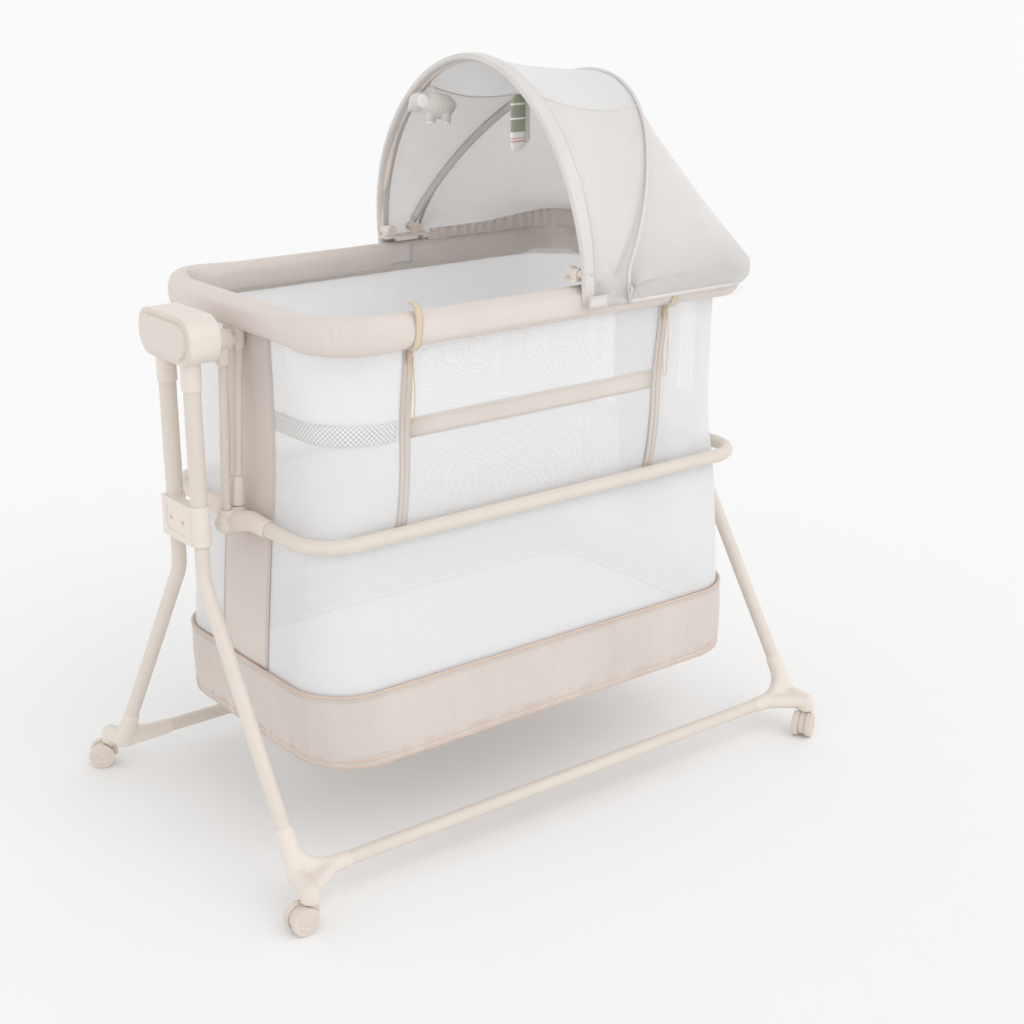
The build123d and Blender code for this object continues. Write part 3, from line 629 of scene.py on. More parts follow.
def hub_cap(corner):
    """A raised disc and ring on each wheel's outer face."""
    joint = JOINTS[f"wheel_spin_{corner}"]
    centre, axis = Vector(joint["pos_m"]), Vector(joint["axis"]).normalized()
    reach = 0.017                        # from the middle of the axle to a wheel's outer face
    turn = axis.to_track_quat("Z", "Y").to_matrix()
    profile = ((0.0, 0.0011), (0.0035, 0.0011), (0.0050, 0.0004), (0.0090, 0.0004), (0.0100, 0.0010),
               (0.0125, 0.0010), (0.0135, 0.0002), (0.0136, -0.0004))
    steps = 32
    for side in (-1, 1):
        rows = []
        for radius, rise in profile:
            rows.append([centre + turn @ Vector((max(radius, 1e-5) * math.cos(k * math.tau / steps),
                                                 max(radius, 1e-5) * math.sin(k * math.tau / steps) * side,
                                                 side * (reach + rise))) for k in range(steps)])
        name = f"hub_cap_{corner}_{'outer' if side > 0 else 'inner'}"
        data = grid_mesh(name, rows, closed=True)
        make_piece(name, data, MATERIALS["caster"], f"wheels_{corner}")


# ---------------------------------------------------------------- soft body

RIM_CORNER = 0.072
RIM_HALF_WIDTH, RIM_HALF_HEIGHT = 0.021, 0.0325


def rim_line():
    low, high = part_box("rim_tube_rear")
    radius = (high.z - low.z) / 2
    return high.x - radius, high.y - radius, (low.z + high.z) / 2


def make_rim():
    """The padded sleeve over the rim, puffed by simulation, with its seams."""
    half_x, half_y, z = rim_line()
    z -= 0.0035                                   # the padding hangs a little below the tube
    path = outline(half_x, half_y, RIM_CORNER)
    steps, power = 26, 2.5
    rows = []
    for (x, y), (nx, ny) in path:
        row = []
        for k in range(steps):
            a = math.tau * k / steps
            out = math.copysign(abs(math.cos(a)) ** (2 / power), math.cos(a)) * (RIM_HALF_WIDTH - 0.003)
            up = math.copysign(abs(math.sin(a)) ** (2 / power), math.sin(a)) * (RIM_HALF_HEIGHT - 0.003)
            row.append(Vector((x + nx * out, y + ny * out, z + up)))
        rows.append(row)
    rows.append(rows[0])
    data = grid_mesh("rim_sleeve", rows, closed=True)
    repair(data, weld=True, outward=True)
    rim = make_piece("rim_sleeve", data, MATERIALS["rim"], None)
    puff(rim, 0.006, cap=0.004)
    pull_in_rim(rim, half_x, half_y)
    subdivide(rim)
    rim.data.shade_smooth()
    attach(rim, "cradle")
    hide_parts("rim_padding")
    for name, out, up in (("rim_seam_lower", 0.0178, -0.0215), ("rim_seam_inner", -0.0178, -0.0215)):
        line = [(x + nx * out, y + ny * out, z + up) for (x, y), (nx, ny) in path]
        side = math.copysign(1, out)
        normals = [(nx * side, ny * side, -0.4) for _, (nx, ny) in path]
        stitches(f"{name}_stitches", line, normals, "cradle", lift=0.0022, closed=True)


def pull_in_rim(rim, half_x, half_y):
    """Gathers where the sleeve is eased round the corners and along the head end."""
    co = coordinates(rim.data)
    for i, (x, y, height) in enumerate(co):
        corner = clamp((abs(x) - half_x + 0.11) / 0.06) * clamp((abs(y) - half_y + 0.11) / 0.06)
        inward = 1.0 if abs(x) < half_x and abs(y) < half_y else 0.35
        angle = math.atan2(abs(y) - half_y + RIM_CORNER, abs(x) - half_x + RIM_CORNER)
        ripple = 0.0011 * corner * math.sin(angle * 46 + 2 * noise.noise(Vector((x, y, 0)) * 30)) * inward
        if x > half_x - 0.03 and abs(y) < 0.16:
            gathers = math.sin(y * 420 + 3 * noise.noise(Vector((0, y, height)) * 24))
            ripple += 0.0010 * inward * gathers * (1 - abs(y) / 0.16)
        ripple += 0.0012 * noise.noise(Vector((x, y, height)) * 14)
        way = Vector((x * (abs(x) > half_x - RIM_CORNER), y * (abs(y) > half_y - RIM_CORNER), 0))
        if way.length > 1e-6:
            way.normalize()
            co[i] += np.array(way) * ripple * (1 if inward < 1 else -1)
    rim.data.vertices.foreach_set("co", co.ravel())
    rim.data.update()


LEVEL_HEIGHTS = (0.785, 0.650, 0.511, 0.2805)
LEVEL_CORNERS = (0.105, 0.085, 0.050, 0.088)


def measured_levels():
    """Half length and half width of the mesh body at each of its levels, from the CAD shell."""
    co = coordinates(NODES["mesh_body"].data)
    found = []
    for height, corner in zip(LEVEL_HEIGHTS, LEVEL_CORNERS):
        near = co[np.abs(co[:, 2] - height) < 0.0008]
        found.append((height, near[:, 0].max(), near[:, 1].max(), corner))
    top, middle, ring = found[0], found[1], found[2]
    straighter = (middle[1] + (top[1] + ring[1]) / 2) / 2
    found[1] = (middle[0], straighter, middle[2], middle[3])
    return found


def body_at(z):
    """Half length, half width and corner of the hanging mesh at a height: it is tied out to the ring."""
    for upper, lower, bend in zip(LEVELS[:-1], LEVELS[1:], (1.5, 2.2, 0.75)):
        if z >= lower[0] - 1e-9:
            t = min(1.0, max(0.0, (upper[0] - z) / (upper[0] - lower[0])))
            mix = t ** bend if bend != 1.5 else t * t * (3 - 2 * t)
            return [a + (b - a) * mix for a, b in zip(upper[1:], lower[1:])]
    return list(LEVELS[-1][1:])


def body_row(z, offset, drape=0.0):
    half_x, half_y, corner = body_at(z)
    row = []
    for (x, y), (nx, ny) in outline(half_x + offset, half_y + offset, corner + offset):
        place = Vector((x, y, z))
        near_rim = max(0.0, 1 - (LEVELS[0][0] - z) / 0.10)
        along = x if abs(ny) > 0.5 else y
        fold = 0.0014 * near_rim * math.sin(along * 150 + 4 * noise.noise(Vector((x, y, 0)) * 9))
        sway = 0.0030 * noise.noise(Vector((x * 3.1, y * 3.1, z * 4.0))) * math.sin(
            math.pi * (LEVELS[0][0] - z) / (LEVELS[0][0] - LEVELS[-1][0]))
        move = (fold + sway) * drape
        row.append(place + Vector((nx, ny, 0)) * move)
    return row


def make_mesh_body():
    top, bottom = LEVELS[0][0] + 0.012, LEVELS[-1][0]
    rows = [body_row(min(top - (top - bottom) * i / 76, LEVELS[0][0]), -0.0004, 1.0) for i in range(77)]
    for i, row in enumerate(rows):
        for p in row:
            p.z = top - (top - bottom) * i / 76
    data = grid_mesh("mesh_sides", rows, closed=True)
    piece = make_piece("mesh_sides", data, MATERIALS["mesh"], "cradle")
    data.materials.append(MATERIALS["mesh_lower"])      # the mesh is closer below the ring
    for face in data.polygons:
        if face.center.z < LEVELS[2][0]:
            face.material_index = 1
    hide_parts("mesh_body")


def strip(name, x_low, x_high, z_low, z_high, offset, material, replaces, end=0,
          rows_count=60, wave=0.0):
    """A sewn strip on the mesh: on the front side between two x, or on an end between two y."""
    rows = []
    for i in range(rows_count + 1):
        z = z_high - (z_high - z_low) * i / rows_count
        half_x, half_y, _ = body_at(min(z, LEVELS[0][0]))
        row = []
        for k in range(13):
            t = x_low + (x_high - x_low) * k / 12
            uneven = 0.6 + noise.noise(Vector((t * 20, z * 9, 1.0)))
            bulge = offset + wave * math.sin(math.pi * k / 12) * uneven
            row.append(Vector((end * (half_x + bulge), t, z)) if end else Vector((t, -(half_y + bulge), z)))
        rows.append(row)
    data = grid_mesh(name, rows)
    piece = make_piece(name, data, material, "cradle")
    thicken(piece, 0.0012)
    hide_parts(replaces)
    return rows


def make_strips():
    """End panels, zip tapes and the band between them."""
    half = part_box("end_panels")[1].y
    for end, sx in ENDS.items():
        rows = strip(f"end_panel_{end}", -half, half, LEVELS[-1][0] + 0.001, LEVELS[0][0] + 0.008, 0.0016,
                     MATERIALS["panel"], "end_panels", end=sx, wave=0.0012)
        for edge, column in (("front", 0), ("rear", -1)):
            line = [row[column] + Vector((sx * 0.0010, 0.003 if column == 0 else -0.003, 0)) for row in rows]
            stitches(f"end_panel_{end}_{edge}_stitches", line, [(sx, 0, 0)] * len(line), "cradle")
    ring_low, ring_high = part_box("ring_tube_front")
    cross_low, cross_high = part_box("cross_band")
    tape_half = 0.009
    zips = [(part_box(f"zip_slider_{end}")[0].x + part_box(f"zip_slider_{end}")[1].x) / 2 for end in ENDS]
    for end, x in zip(ENDS, zips):
        rows = strip(f"zip_tape_{end}", x - tape_half, x + tape_half, (ring_low.z + ring_high.z) / 2,
                     LEVELS[0][0] + 0.006, 0.0014, MATERIALS["tape"], "zip_bands")
        for side, column in (("left", 1), ("right", -2)):
            line = [row[column] + Vector((0, -0.0009, 0)) for row in rows]
            stitches(f"zip_tape_{end}_{side}_stitches", line, [(0, -1, 0)] * len(line), "cradle")
        zip_teeth(end, rows)
    rows = strip("cross_band_cloth", zips[0] + tape_half, zips[1] - tape_half, cross_low.z, cross_high.z,
                 0.0010, MATERIALS["cross"], "cross_band", rows_count=8)
    for name, row in (("upper", rows[1]), ("lower", rows[-2])):
        line = [p + Vector((0, -0.0009, 0)) for p in row]
        stitches(f"cross_band_{name}_stitches", line, [(0, -1, 0)] * len(line), "cradle")
    make_corner_band(cross_low.z, cross_high.z, zips[0] - tape_half, -half)


def make_corner_band(z_low, z_high, x_end, y_end):
    """The doubled mesh that carries the band on round the near corner to the end panel."""
    rows, keep = [], None
    for i in range(7):
        z = z_high + (z_low - z_high) * i / 6
        half_x, half_y, corner = body_at(z)
        path = outline(half_x + 0.0024, half_y + 0.0024, corner)
        if keep is None:
            inside = [k for k, ((x, y), _) in enumerate(path) if x < x_end and y < y_end]
            keep = [k for k in inside if k > len(path) // 2] + [k for k in inside if k <= len(path) // 2]
        rows.append([Vector((*path[k][0], z)) for k in keep])
    data = grid_mesh("corner_band", rows)
    piece = make_piece("corner_band", data, MATERIALS["mesh_doubled"], "cradle")
    thicken(piece, 0.0008)


def zip_teeth(end, rows):
    """The closed coil of the zip down the middle of its tape."""
    line = [(row[0] + row[-1]) / 2 + Vector((0, -0.0012, 0)) for row in rows]
    radius = [0.0010 + 0.0003 * (i % 2) for i in range(len(line))]
    name = f"zip_coil_{end}"
    make_piece(name, tube_mesh(name, line, radius, 8), MATERIALS["tape"], "cradle")


def make_zip_pulls():
    """Slider, ribbon loop and the tape that comes over the rim."""
    _, half_y, rim_z = rim_line()
    for end in ENDS:
        low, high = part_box(f"zip_slider_{end}")
        x = (low.x + high.x) / 2
        face = high.y
        body = f"zip_slider_{end}"
        made = bmesh.new()
        bmesh.ops.create_cube(made, size=1.0)
        bmesh.ops.scale(made, vec=(0.0085, 0.0045, 0.017), verts=made.verts)
        for vert in made.verts:
            if vert.co.z > 0:
                vert.co.x *= 1.15
            else:
                vert.co.x *= 0.7
        bmesh.ops.bevel(made, geom=made.edges, offset=0.0012, segments=3, affect="EDGES")
        bmesh.ops.translate(made, vec=(x, face - 0.0030, high.z - 0.0125), verts=made.verts)
        name = f"zip_slider_{end}_body"
        data = mesh_from(made, name)
        slider = make_piece(name, data, MATERIALS["ribbon"], body)
        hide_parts(f"zip_slider_{end}")
        # the ribbon goes down one side of the loop, turns and comes back up
        drop = low.z + 0.004
        top = high.z - 0.012
        steps = 26
        loop = []
        for i in range(steps + 1):
            t = i / steps
            open_by = 0.0016 + 0.0022 * math.sin(math.pi * min(1.0, t)) ** 2
            loop.append(Vector((x - 0.0022 - open_by * 0.9, face - 0.0056, top + (drop - top) * t)))
        turn = [Vector((x - 0.0030 * math.cos(a), face - 0.0056, drop - 0.0030 * math.sin(a)))
                for a in [math.pi * k / 8 for k in range(1, 8)]]
        back = [Vector((2 * x - p.x, p.y, p.z)) for p in reversed(loop)]
        line = loop + turn + back
        name = f"zip_ribbon_{end}"
        ribbon = ribbon_edge(name, line, 0.0016, 0.00045, body)
        rim_tape(end, x, half_y, rim_z)


def ribbon_edge(name, line, half_width, half_thick, body):
    """A flat ribbon on edge: its width faces out of the loop's plane."""
    edge = -half_thick / half_width
    section = ((-1, edge), (0, -0.6), (1, edge), (1, 0.3), (0, 0.7), (-1, 0.3))
    rows = []
    for i, point in enumerate(line):
        before, after = line[max(0, i - 1)], line[min(len(line) - 1, i + 1)]
        way = (after - before).normalized()
        flat = Vector((0, -1, 0))
        side = way.cross(flat).normalized()
        rows.append([point + side * a * half_width * 0.55 + flat * b * half_width * 0.8 for a, b in section])
    data = grid_mesh(name, rows, closed=True)
    repair(data, cap=8)
    return make_piece(name, data, MATERIALS["ribbon"], body)


def rim_tape(end, x, half_y, rim_z):
    """The tape that passes from the zip up over the rim's outer face to its top."""
    rows = []
    steps = 22
    for i in range(steps + 1):
        a = math.radians(-62 + (95 + 62) * i / steps)
        out = math.copysign(abs(math.cos(a)) ** 0.8, math.cos(a)) * (RIM_HALF_WIDTH + 0.0016)
        up = math.copysign(abs(math.sin(a)) ** 0.8, math.sin(a)) * (RIM_HALF_HEIGHT + 0.0014)
        lean = 0.004 * math.sin(a)
        rows.append([Vector((x + lean + w, -half_y - out, rim_z + up))
                     for w in (-0.0062, -0.0030, 0.0, 0.0030, 0.0062)])
    name = f"rim_tape_{end}"
    piece = make_piece(name, grid_mesh(name, rows), MATERIALS["ribbon"], "cradle")
    thicken(piece, 0.0010, -1.0)
    for side, column in (("left", 0), ("right", -1)):
        line = [row[column] + Vector((0.0012 if column == 0 else -0.0012, 0, 0)) for row in rows]
        normals = [(Vector((0, row[2].y + half_y, row[2].z - rim_z))).normalized() for row in rows]
        stitches(f"{name}_{side}_stitches", line, normals, "cradle", lift=0.0008)


BAND_TOP_CORNER, BAND_BOTTOM_CORNER = 0.091, 0.095


def make_base_band():
    """The padded band round the base: soft upright pleats, piping above and two below."""
    low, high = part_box("base_band")
    co = coordinates(NODES["base_band"].data)
    top = co[co[:, 2] > high.z - 0.001]
    bottom = co[co[:, 2] < low.z + 0.001]
    ends = [(high.z, top[:, 0].max(), top[:, 1].max(), BAND_TOP_CORNER),
            (low.z, bottom[:, 0].max(), bottom[:, 1].max(), BAND_BOTTOM_CORNER)]
    rows, count = [], 34
    for i in range(count + 1):
        t = i / count
        z, half_x, half_y, corner = [a + (b - a) * t for a, b in zip(*ends)]
        row = []
        path = outline(half_x, half_y, corner, 110, 66, 24)
        for index, ((x, y), (nx, ny)) in enumerate(path):
            around = index / len(path)
            swell = math.sin(math.pi * min(1.0, max(0.0, t))) ** 0.6
            turn = (math.cos(around * math.tau), math.sin(around * math.tau))
            pleat = noise.noise(Vector((turn[0] * 22, turn[1] * 22, z * 3.0)))
            pleat += 0.45 * noise.noise(Vector((turn[0] * 60, turn[1] * 60, z * 5)))
            out = 0.0016 + swell * (0.0030 + 0.0034 * pleat)
            row.append(Vector((x + nx * out, y + ny * out, z)))
        rows.append(row)
    inner = [[p - Vector((p.x, p.y, 0)).normalized() * 0.004 for p in row] for row in reversed(rows)]
    data = grid_mesh("base_band_quilt", rows + inner + [rows[0]], closed=True)
    repair(data, weld=True, outward=True)
    piece = make_piece("base_band_quilt", data, MATERIALS["band"], "cradle")
    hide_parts("base_band")
    for name, z, grow, radius in (("base_piping_upper", high.z, 0.0022, 0.0026),
                                  ("base_piping_lower", low.z + 0.0125, 0.0022, 0.0022),
                                  ("base_piping_bottom", low.z + 0.0030, 0.0010, 0.0028)):
        t = (high.z - z) / (high.z - low.z)
        _, half_x, half_y, corner = [a + (b - a) * t for a, b in zip(*ends)]
        line = [(x + nx * grow, y + ny * grow, z) for (x, y), (nx, ny) in outline(half_x, half_y, corner)]
        data = tube_mesh(name, line, radius, 10, closed=True)
        make_piece(name, data, MATERIALS["piping"], "cradle")
    for name, z in (("base_stitches_upper", high.z - 0.0065), ("base_stitches_lower", low.z + 0.0185)):
        t = (high.z - z) / (high.z - low.z)
        _, half_x, half_y, corner = [a + (b - a) * t for a, b in zip(*ends)]
        path = outline(half_x, half_y, corner)
        line = [(x + nx * 0.0034, y + ny * 0.0034, z) for (x, y), (nx, ny) in path]
        stitches(name, line, [(nx, ny, 0) for _, (nx, ny) in path], "cradle", closed=True)


def make_mattress():
    low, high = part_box("mattress")
    corner = BAND_BOTTOM_CORNER - 0.010
    inset = 0.006
    rows = []
    heights = ((0.0, 0.020), (0.05, 0.006), (0.25, 0.0), (0.75, 0.0), (0.95, 0.006), (1.0, 0.020))
    for share, shrink in heights:
        z = low.z + (high.z - low.z) * share
        rows.append([Vector((x, y, z)) for (x, y), _ in
                     outline(high.x - inset - shrink, high.y - inset - shrink, corner - shrink)])
    data = grid_mesh("mattress_pad", rows, closed=True)
    repair(data, cap=1000, outward=True)
    pad = make_piece("mattress_pad", data, MATERIALS["mattress"], None)
    floor_z = low.z + 0.006
    puff(pad, 0.008, cap=0.004, hold=lambda p: p[2] < floor_z)
    pad.data.shade_smooth()
    subdivide(pad)
    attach(pad, "cradle")
    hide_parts("mattress")
    path = outline(high.x - 0.003, high.y - 0.003, corner)
    for name, z in (("mattress_piping_upper", high.z - 0.004), ("mattress_piping_lower", low.z + 0.004)):
        line = [(x, y, z) for (x, y), _ in path]
        data = tube_mesh(name, line, 0.0022, 8, closed=True)
        make_piece(name, data, MATERIALS["mattress"], "cradle")


def dress_board():
    data = NODES["base_board"].data
    paint(data, MATERIALS["board"])
    soften_edges("base_board", 0.0025)


# ---------------------------------------------------------------- canopy

HOOP_RADIUS, HOOP_POWER = 0.0045, 1.9
COVER_OUT = 0.0075
HEM_CORNER = 0.108
WINDOW_REACH = 0.155                     # half the window's share of the cover's edge
FRONT_BACK, REAR_BACK = 0.008, 0.024     # how far the cloth lies behind each hoop's foot


def hoop_shape(node, joint):
    """Foot, half width, height and lean of a hoop, from its joint and its box."""
    foot = Vector(JOINTS[joint]["pos_m"])
    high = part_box(node)[1]
    radius = HOOP_RADIUS
    lean = math.atan2(high.x - radius - foot.x, high.z - radius - foot.z)
    height = math.hypot(high.x - radius * math.cos(lean) - foot.x, high.z - radius * math.cos(lean) - foot.z)
    if node.endswith("front"):
        lean, height = 0.0, high.z - radius - foot.z
    half = max(p[1] for p in coordinates(NODES[node].data)) - radius
    return foot, half, height, lean


def arch_points(shape, grow, steps=56):
    foot, half, height, lean = shape
    found = []
    for i in range(steps + 1):
        a = math.pi * i / steps
        across = -math.copysign(abs(math.cos(a)) ** (2 / HOOP_POWER), math.cos(a)) * (half + grow)
        up = max(math.sin(a), 0.0) ** (2 / HOOP_POWER) * (height + grow)
        found.append(Vector((foot.x + up * math.sin(lean), across, foot.z + up * math.cos(lean))))
    return found


def even_spacing(points, count):
    """The same line with its points evenly spaced along it."""
    lengths = np.concatenate([[0], np.cumsum([(b - a).length for a, b in zip(points[:-1], points[1:])])])
    places = np.linspace(0, lengths[-1], count)
    table = np.array([tuple(p) for p in points])
    return [Vector([np.interp(s, lengths, table[:, k]) for k in range(3)]) for s in places]


def cover_edge(shape, grow, hem_z, back, count=97):
    """A hoop's line with its cloth carried down to the hem, drawn a little further back near the foot."""
    points = arch_points(shape, grow)
    for point in points:
        point.x += back * max(0.0, 1 - (point.z - shape[0].z) / 0.17) ** 1.6
    leg = Vector((0.002, 0, hem_z - points[0].z))
    return even_spacing([points[0] + leg] + points + [points[-1] + leg], count)


def cover_hem(z, start_x, end_x, half, count=97):
    """The hem round the head end, from the near side to the far side."""
    points = [Vector((start_x, -half, z))]
    for side in (-1, 1):
        for i in range(25):
            a = math.radians(90 * (i / 24 if side < 0 else 1 - i / 24))
            points.append(Vector((end_x - HEM_CORNER + HEM_CORNER * math.sin(a),
                                  side * (half - HEM_CORNER + HEM_CORNER * math.cos(a)), z)))
    points.append(Vector((start_x, half, z)))
    return even_spacing(points, count)


def make_canopy():
    front = hoop_shape("canopy_hoop_front", "canopy_fold")
    rear = hoop_shape("canopy_hoop_rear", "canopy_rear_fold")
    hem_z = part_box("canopy_cover_front")[0].z + 0.001
    end_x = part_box("canopy_cover_rear")[1].x - 0.009
    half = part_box("canopy_cover_rear")[1].y - 0.002
    front_edge = cover_edge(front, COVER_OUT, hem_z, FRONT_BACK)
    rear_edge = cover_edge(rear, COVER_OUT, hem_z, REAR_BACK)
    make_front_cover(front, front_edge, rear_edge)
    make_rear_cover(rear_edge, hem_z, end_x, half)
    make_binding(front, hem_z)
    make_sleeves(rear, rear_edge)


def make_front_cover(front, front_edge, rear_edge):
    """Cloth between the hoops with a mesh window over the top."""
    rows, count = [], 26
    for i in range(count + 1):
        s = i / count
        row = []
        for k, (a, b) in enumerate(zip(front_edge, rear_edge)):
            p = a.lerp(b, s)
            t = k / (len(front_edge) - 1)
            middle = Vector((p.x, 0, front[0].z + 0.05))
            inward = (middle - p).normalized()
            arch = math.sin(math.pi * t) ** 0.5
            sag = 0.0075 * math.sin(math.pi * s) * arch * clamp((p.z - front[0].z - 0.06) / 0.10)
            crease = 0.0018 * noise.noise(Vector((p.x * 9, p.y * 9, p.z * 9))) * math.sin(math.pi * s)
            low = max(0.0, 1 - abs(p.z - front_edge[0].z) / 0.09)
            crease += 0.0035 * low * math.sin(math.pi * s) * noise.noise(Vector((p.x * 34, t * 3, p.z * 30)))
            row.append(p + inward * (sag + crease))
        rows.append(row)
    data = grid_mesh("canopy_cloth_front", rows)
    piece = make_piece("canopy_cloth_front", data, MATERIALS["canopy"], None)
    piece.data.materials.append(MATERIALS["window"])
    columns = len(front_edge) - 1
    for face in piece.data.polygons:
        i, k = divmod(face.index, columns)
        t = (k + 0.5) / columns
        edge = 0.5 - WINDOW_REACH * (1 + 0.10 * math.sin(math.pi * (i + 0.5) / count))
        if edge < t < 1 - edge:
            face.material_index = 1
    thicken(piece, 0.0008)
    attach(piece, "canopy_rear")
    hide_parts("canopy_cover_front")
    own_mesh(piece)
    for side in (-1, 1):
        line, normals = [], []
        for i, row in enumerate(rows):
            edge = 0.5 + side * WINDOW_REACH * (1 + 0.10 * math.sin(math.pi * i / count))
            place = edge * columns
            k = int(place)
            p = row[k].lerp(row[k + 1], place - k)
            line.append(p)
            normals.append((p - Vector((p.x, 0, front[0].z))).normalized())
        name = f"window_seam_{'near' if side < 0 else 'far'}"
        data = tube_mesh(name, [p + n * 0.0008 for p, n in zip(line, normals)], 0.0016, 8, flat=0.6)
        seam = make_piece(name, data, MATERIALS["binding"], "canopy_rear")
        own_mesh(seam)


def make_rear_cover(rear_edge, hem_z, end_x, half):
    """Cloth from the rear hoop down to the hem round the head end, tucked under the rim."""
    start_x = rear_edge[0].x
    hem = cover_hem(hem_z + 0.030, start_x, end_x, half)
    rows, count = [], 30
    for i in range(count + 1):
        s = i / count
        row = []
        for k, (a, b) in enumerate(zip(rear_edge, hem)):
            t = k / (len(hem) - 1)
            p = a.lerp(b, s)
            middle = Vector((0.30, 0, 0.86))
            outward = (p - middle).normalized()
            side = math.sin(math.pi * t) ** 2
            belly = 0.010 * math.sin(math.pi * s) * (1 - side) - 0.004 * math.sin(math.pi * s) * side
            crease = 0.0022 * noise.noise(Vector((p.x * 8, p.y * 8, p.z * 8)))
            crease += 0.0030 * s ** 3 * noise.noise(Vector((k * 0.55, s * 2, 3.0)))
            row.append(p + outward * (belly + crease * math.sin(math.pi * min(s, 0.95))))
        rows.append(row)
    for up, inset in ((0.025, -0.0008), (0.019, -0.0012), (0.012, -0.0010), (0.006, 0.0), (0.002, 0.0022),
                      (0.0, 0.0065)):
        lower = []
        for k, p in enumerate(cover_hem(hem_z + up, start_x, end_x - inset, half - inset)):
            pucker = 0.0016 * noise.noise(Vector((k * 0.8, up * 60, 9.0)))
            lower.append(p + Vector((p.x - 0.2, p.y, 0)).normalized() * pucker)
        rows.append(lower)
    data = grid_mesh("canopy_cloth_rear", rows)
    piece = make_piece("canopy_cloth_rear", data, MATERIALS["canopy"], None)
    thicken(piece, 0.0008)
    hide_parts("canopy_cover_rear")
    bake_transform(piece)
    line = [p + Vector((0, 0, 0.0145)) for p in cover_hem(hem_z, start_x, end_x - 0.0005, half - 0.0008)]
    normals = [Vector((max(p.x - 0.25, 0), p.y, 0.2)).normalized() for p in line]
    data = tube_mesh("canopy_hem_roll", hem_roll_line(hem_z, start_x, end_x, half), 0.0042, 10)
    make_piece("canopy_hem_roll", data, MATERIALS["binding"], "cradle")
    stitches("canopy_hem_stitches", line, normals, "cradle", lift=0.0012)


def make_head_band():
    """The gathered strip that stands on the rim inside the head end."""
    half_x, half_y, _ = rim_line()
    inset = 0.010
    path = outline(half_x - inset, half_y - inset, RIM_CORNER - inset, 220, 130, 40)
    path = [(p, n) for p, n in path if p[0] > 0.10]
    path.sort(key=lambda item: math.atan2(item[0][1], item[0][0] - 0.10))
    rows = []
    for i in range(11):
        s = i / 10
        row = []
        for k, ((x, y), (nx, ny)) in enumerate(path):
            gather = 0.0016 * math.sin(k * 0.9 + 3 * noise.noise(Vector((k * 0.05, s, 0)))) * (0.4 + 0.6 * s)
            taller = clamp((x - 0.22) / 0.14)
            out = gather - 0.004 * s
            row.append(Vector((x + nx * out, y + ny * out, 0.834 + s * (0.019 + 0.012 * taller))))
        rows.append(row)
    data = grid_mesh("head_band", rows)
    piece = make_piece("head_band", data, MATERIALS["rim"], "cradle")
    thicken(piece, 0.0012)
    top = [p + Vector((0, 0, 0.0006)) for p in rows[-1]]
    data = tube_mesh("head_band_piping", top, 0.0013, 8)
    make_piece("head_band_piping", data, MATERIALS["binding"], "cradle")


def make_rim_patches():
    """A square patch on the rim's inner face at the far hoop foot, and a tab at the near hem corner."""
    _, half_y, _ = rim_line()
    patch_y, tab_y = half_y - RIM_HALF_WIDTH - 0.0012, -half_y - RIM_HALF_WIDTH - 0.0155
    for name, x_low, x_high, z_low, z_high, y, under in (
            ("rim_patch", 0.017, 0.060, 0.803, 0.835, patch_y, "rim_sleeve"),
            ("hem_tab", 0.026, 0.064, 0.808, 0.826, tab_y, "canopy_binding_foot_near")):
        rows = []
        for i in range(7):
            z = z_high + (z_low - z_high) * i / 6
            rows.append([Vector((x_low + (x_high - x_low) * k / 8, y - 0.0006 * math.sin(math.pi * k / 8), z))
                         for k in range(9)])
        data = grid_mesh(name, rows)
        piece = make_piece(name, data, MATERIALS["binding"], "cradle")
        thicken(piece, 0.0012)
        inset = 0.0025
        corners = [(x_low + inset, z_low + inset), (x_high - inset, z_low + inset),
                   (x_high - inset, z_high - inset), (x_low + inset, z_high - inset)]
        line = [Vector((x, y - 0.0012, z)) for x, z in corners]
        stitches(f"{name}_stitches", line, [(0, -1, 0)] * 4, "cradle", closed=True)


def hem_roll_line(hem_z, start_x, end_x, half):
    """The elastic hem under the cover, a little uneven."""
    line = cover_hem(hem_z + 0.0012, start_x, end_x - 0.009, half - 0.0040)
    return [p + Vector((0, 0, 0.0010 * noise.noise(Vector((k * 0.8, 0, 5.0))))) for k, p in enumerate(line)]


def make_binding(front, hem_z):
    """The padded band round the front hoop: an arch that folds with it, and its two fixed feet on the rim."""
    line = cover_edge(front, COVER_OUT - 0.0035, hem_z + 0.006, FRONT_BACK, 141)
    pivot = front[0].z
    arch = [p for p in line if p.z >= pivot - 0.005]
    near = [p for p in line if p.z < pivot + 0.008 and p.y < 0]
    far = [p for p in line if p.z < pivot + 0.008 and p.y > 0]
    for name, points, body in (("canopy_binding", arch, "canopy_front"),
                               ("canopy_binding_foot_near", near, "cradle"),
                               ("canopy_binding_foot_far", far, "cradle")):
        binding_length(name, points, body, pivot)


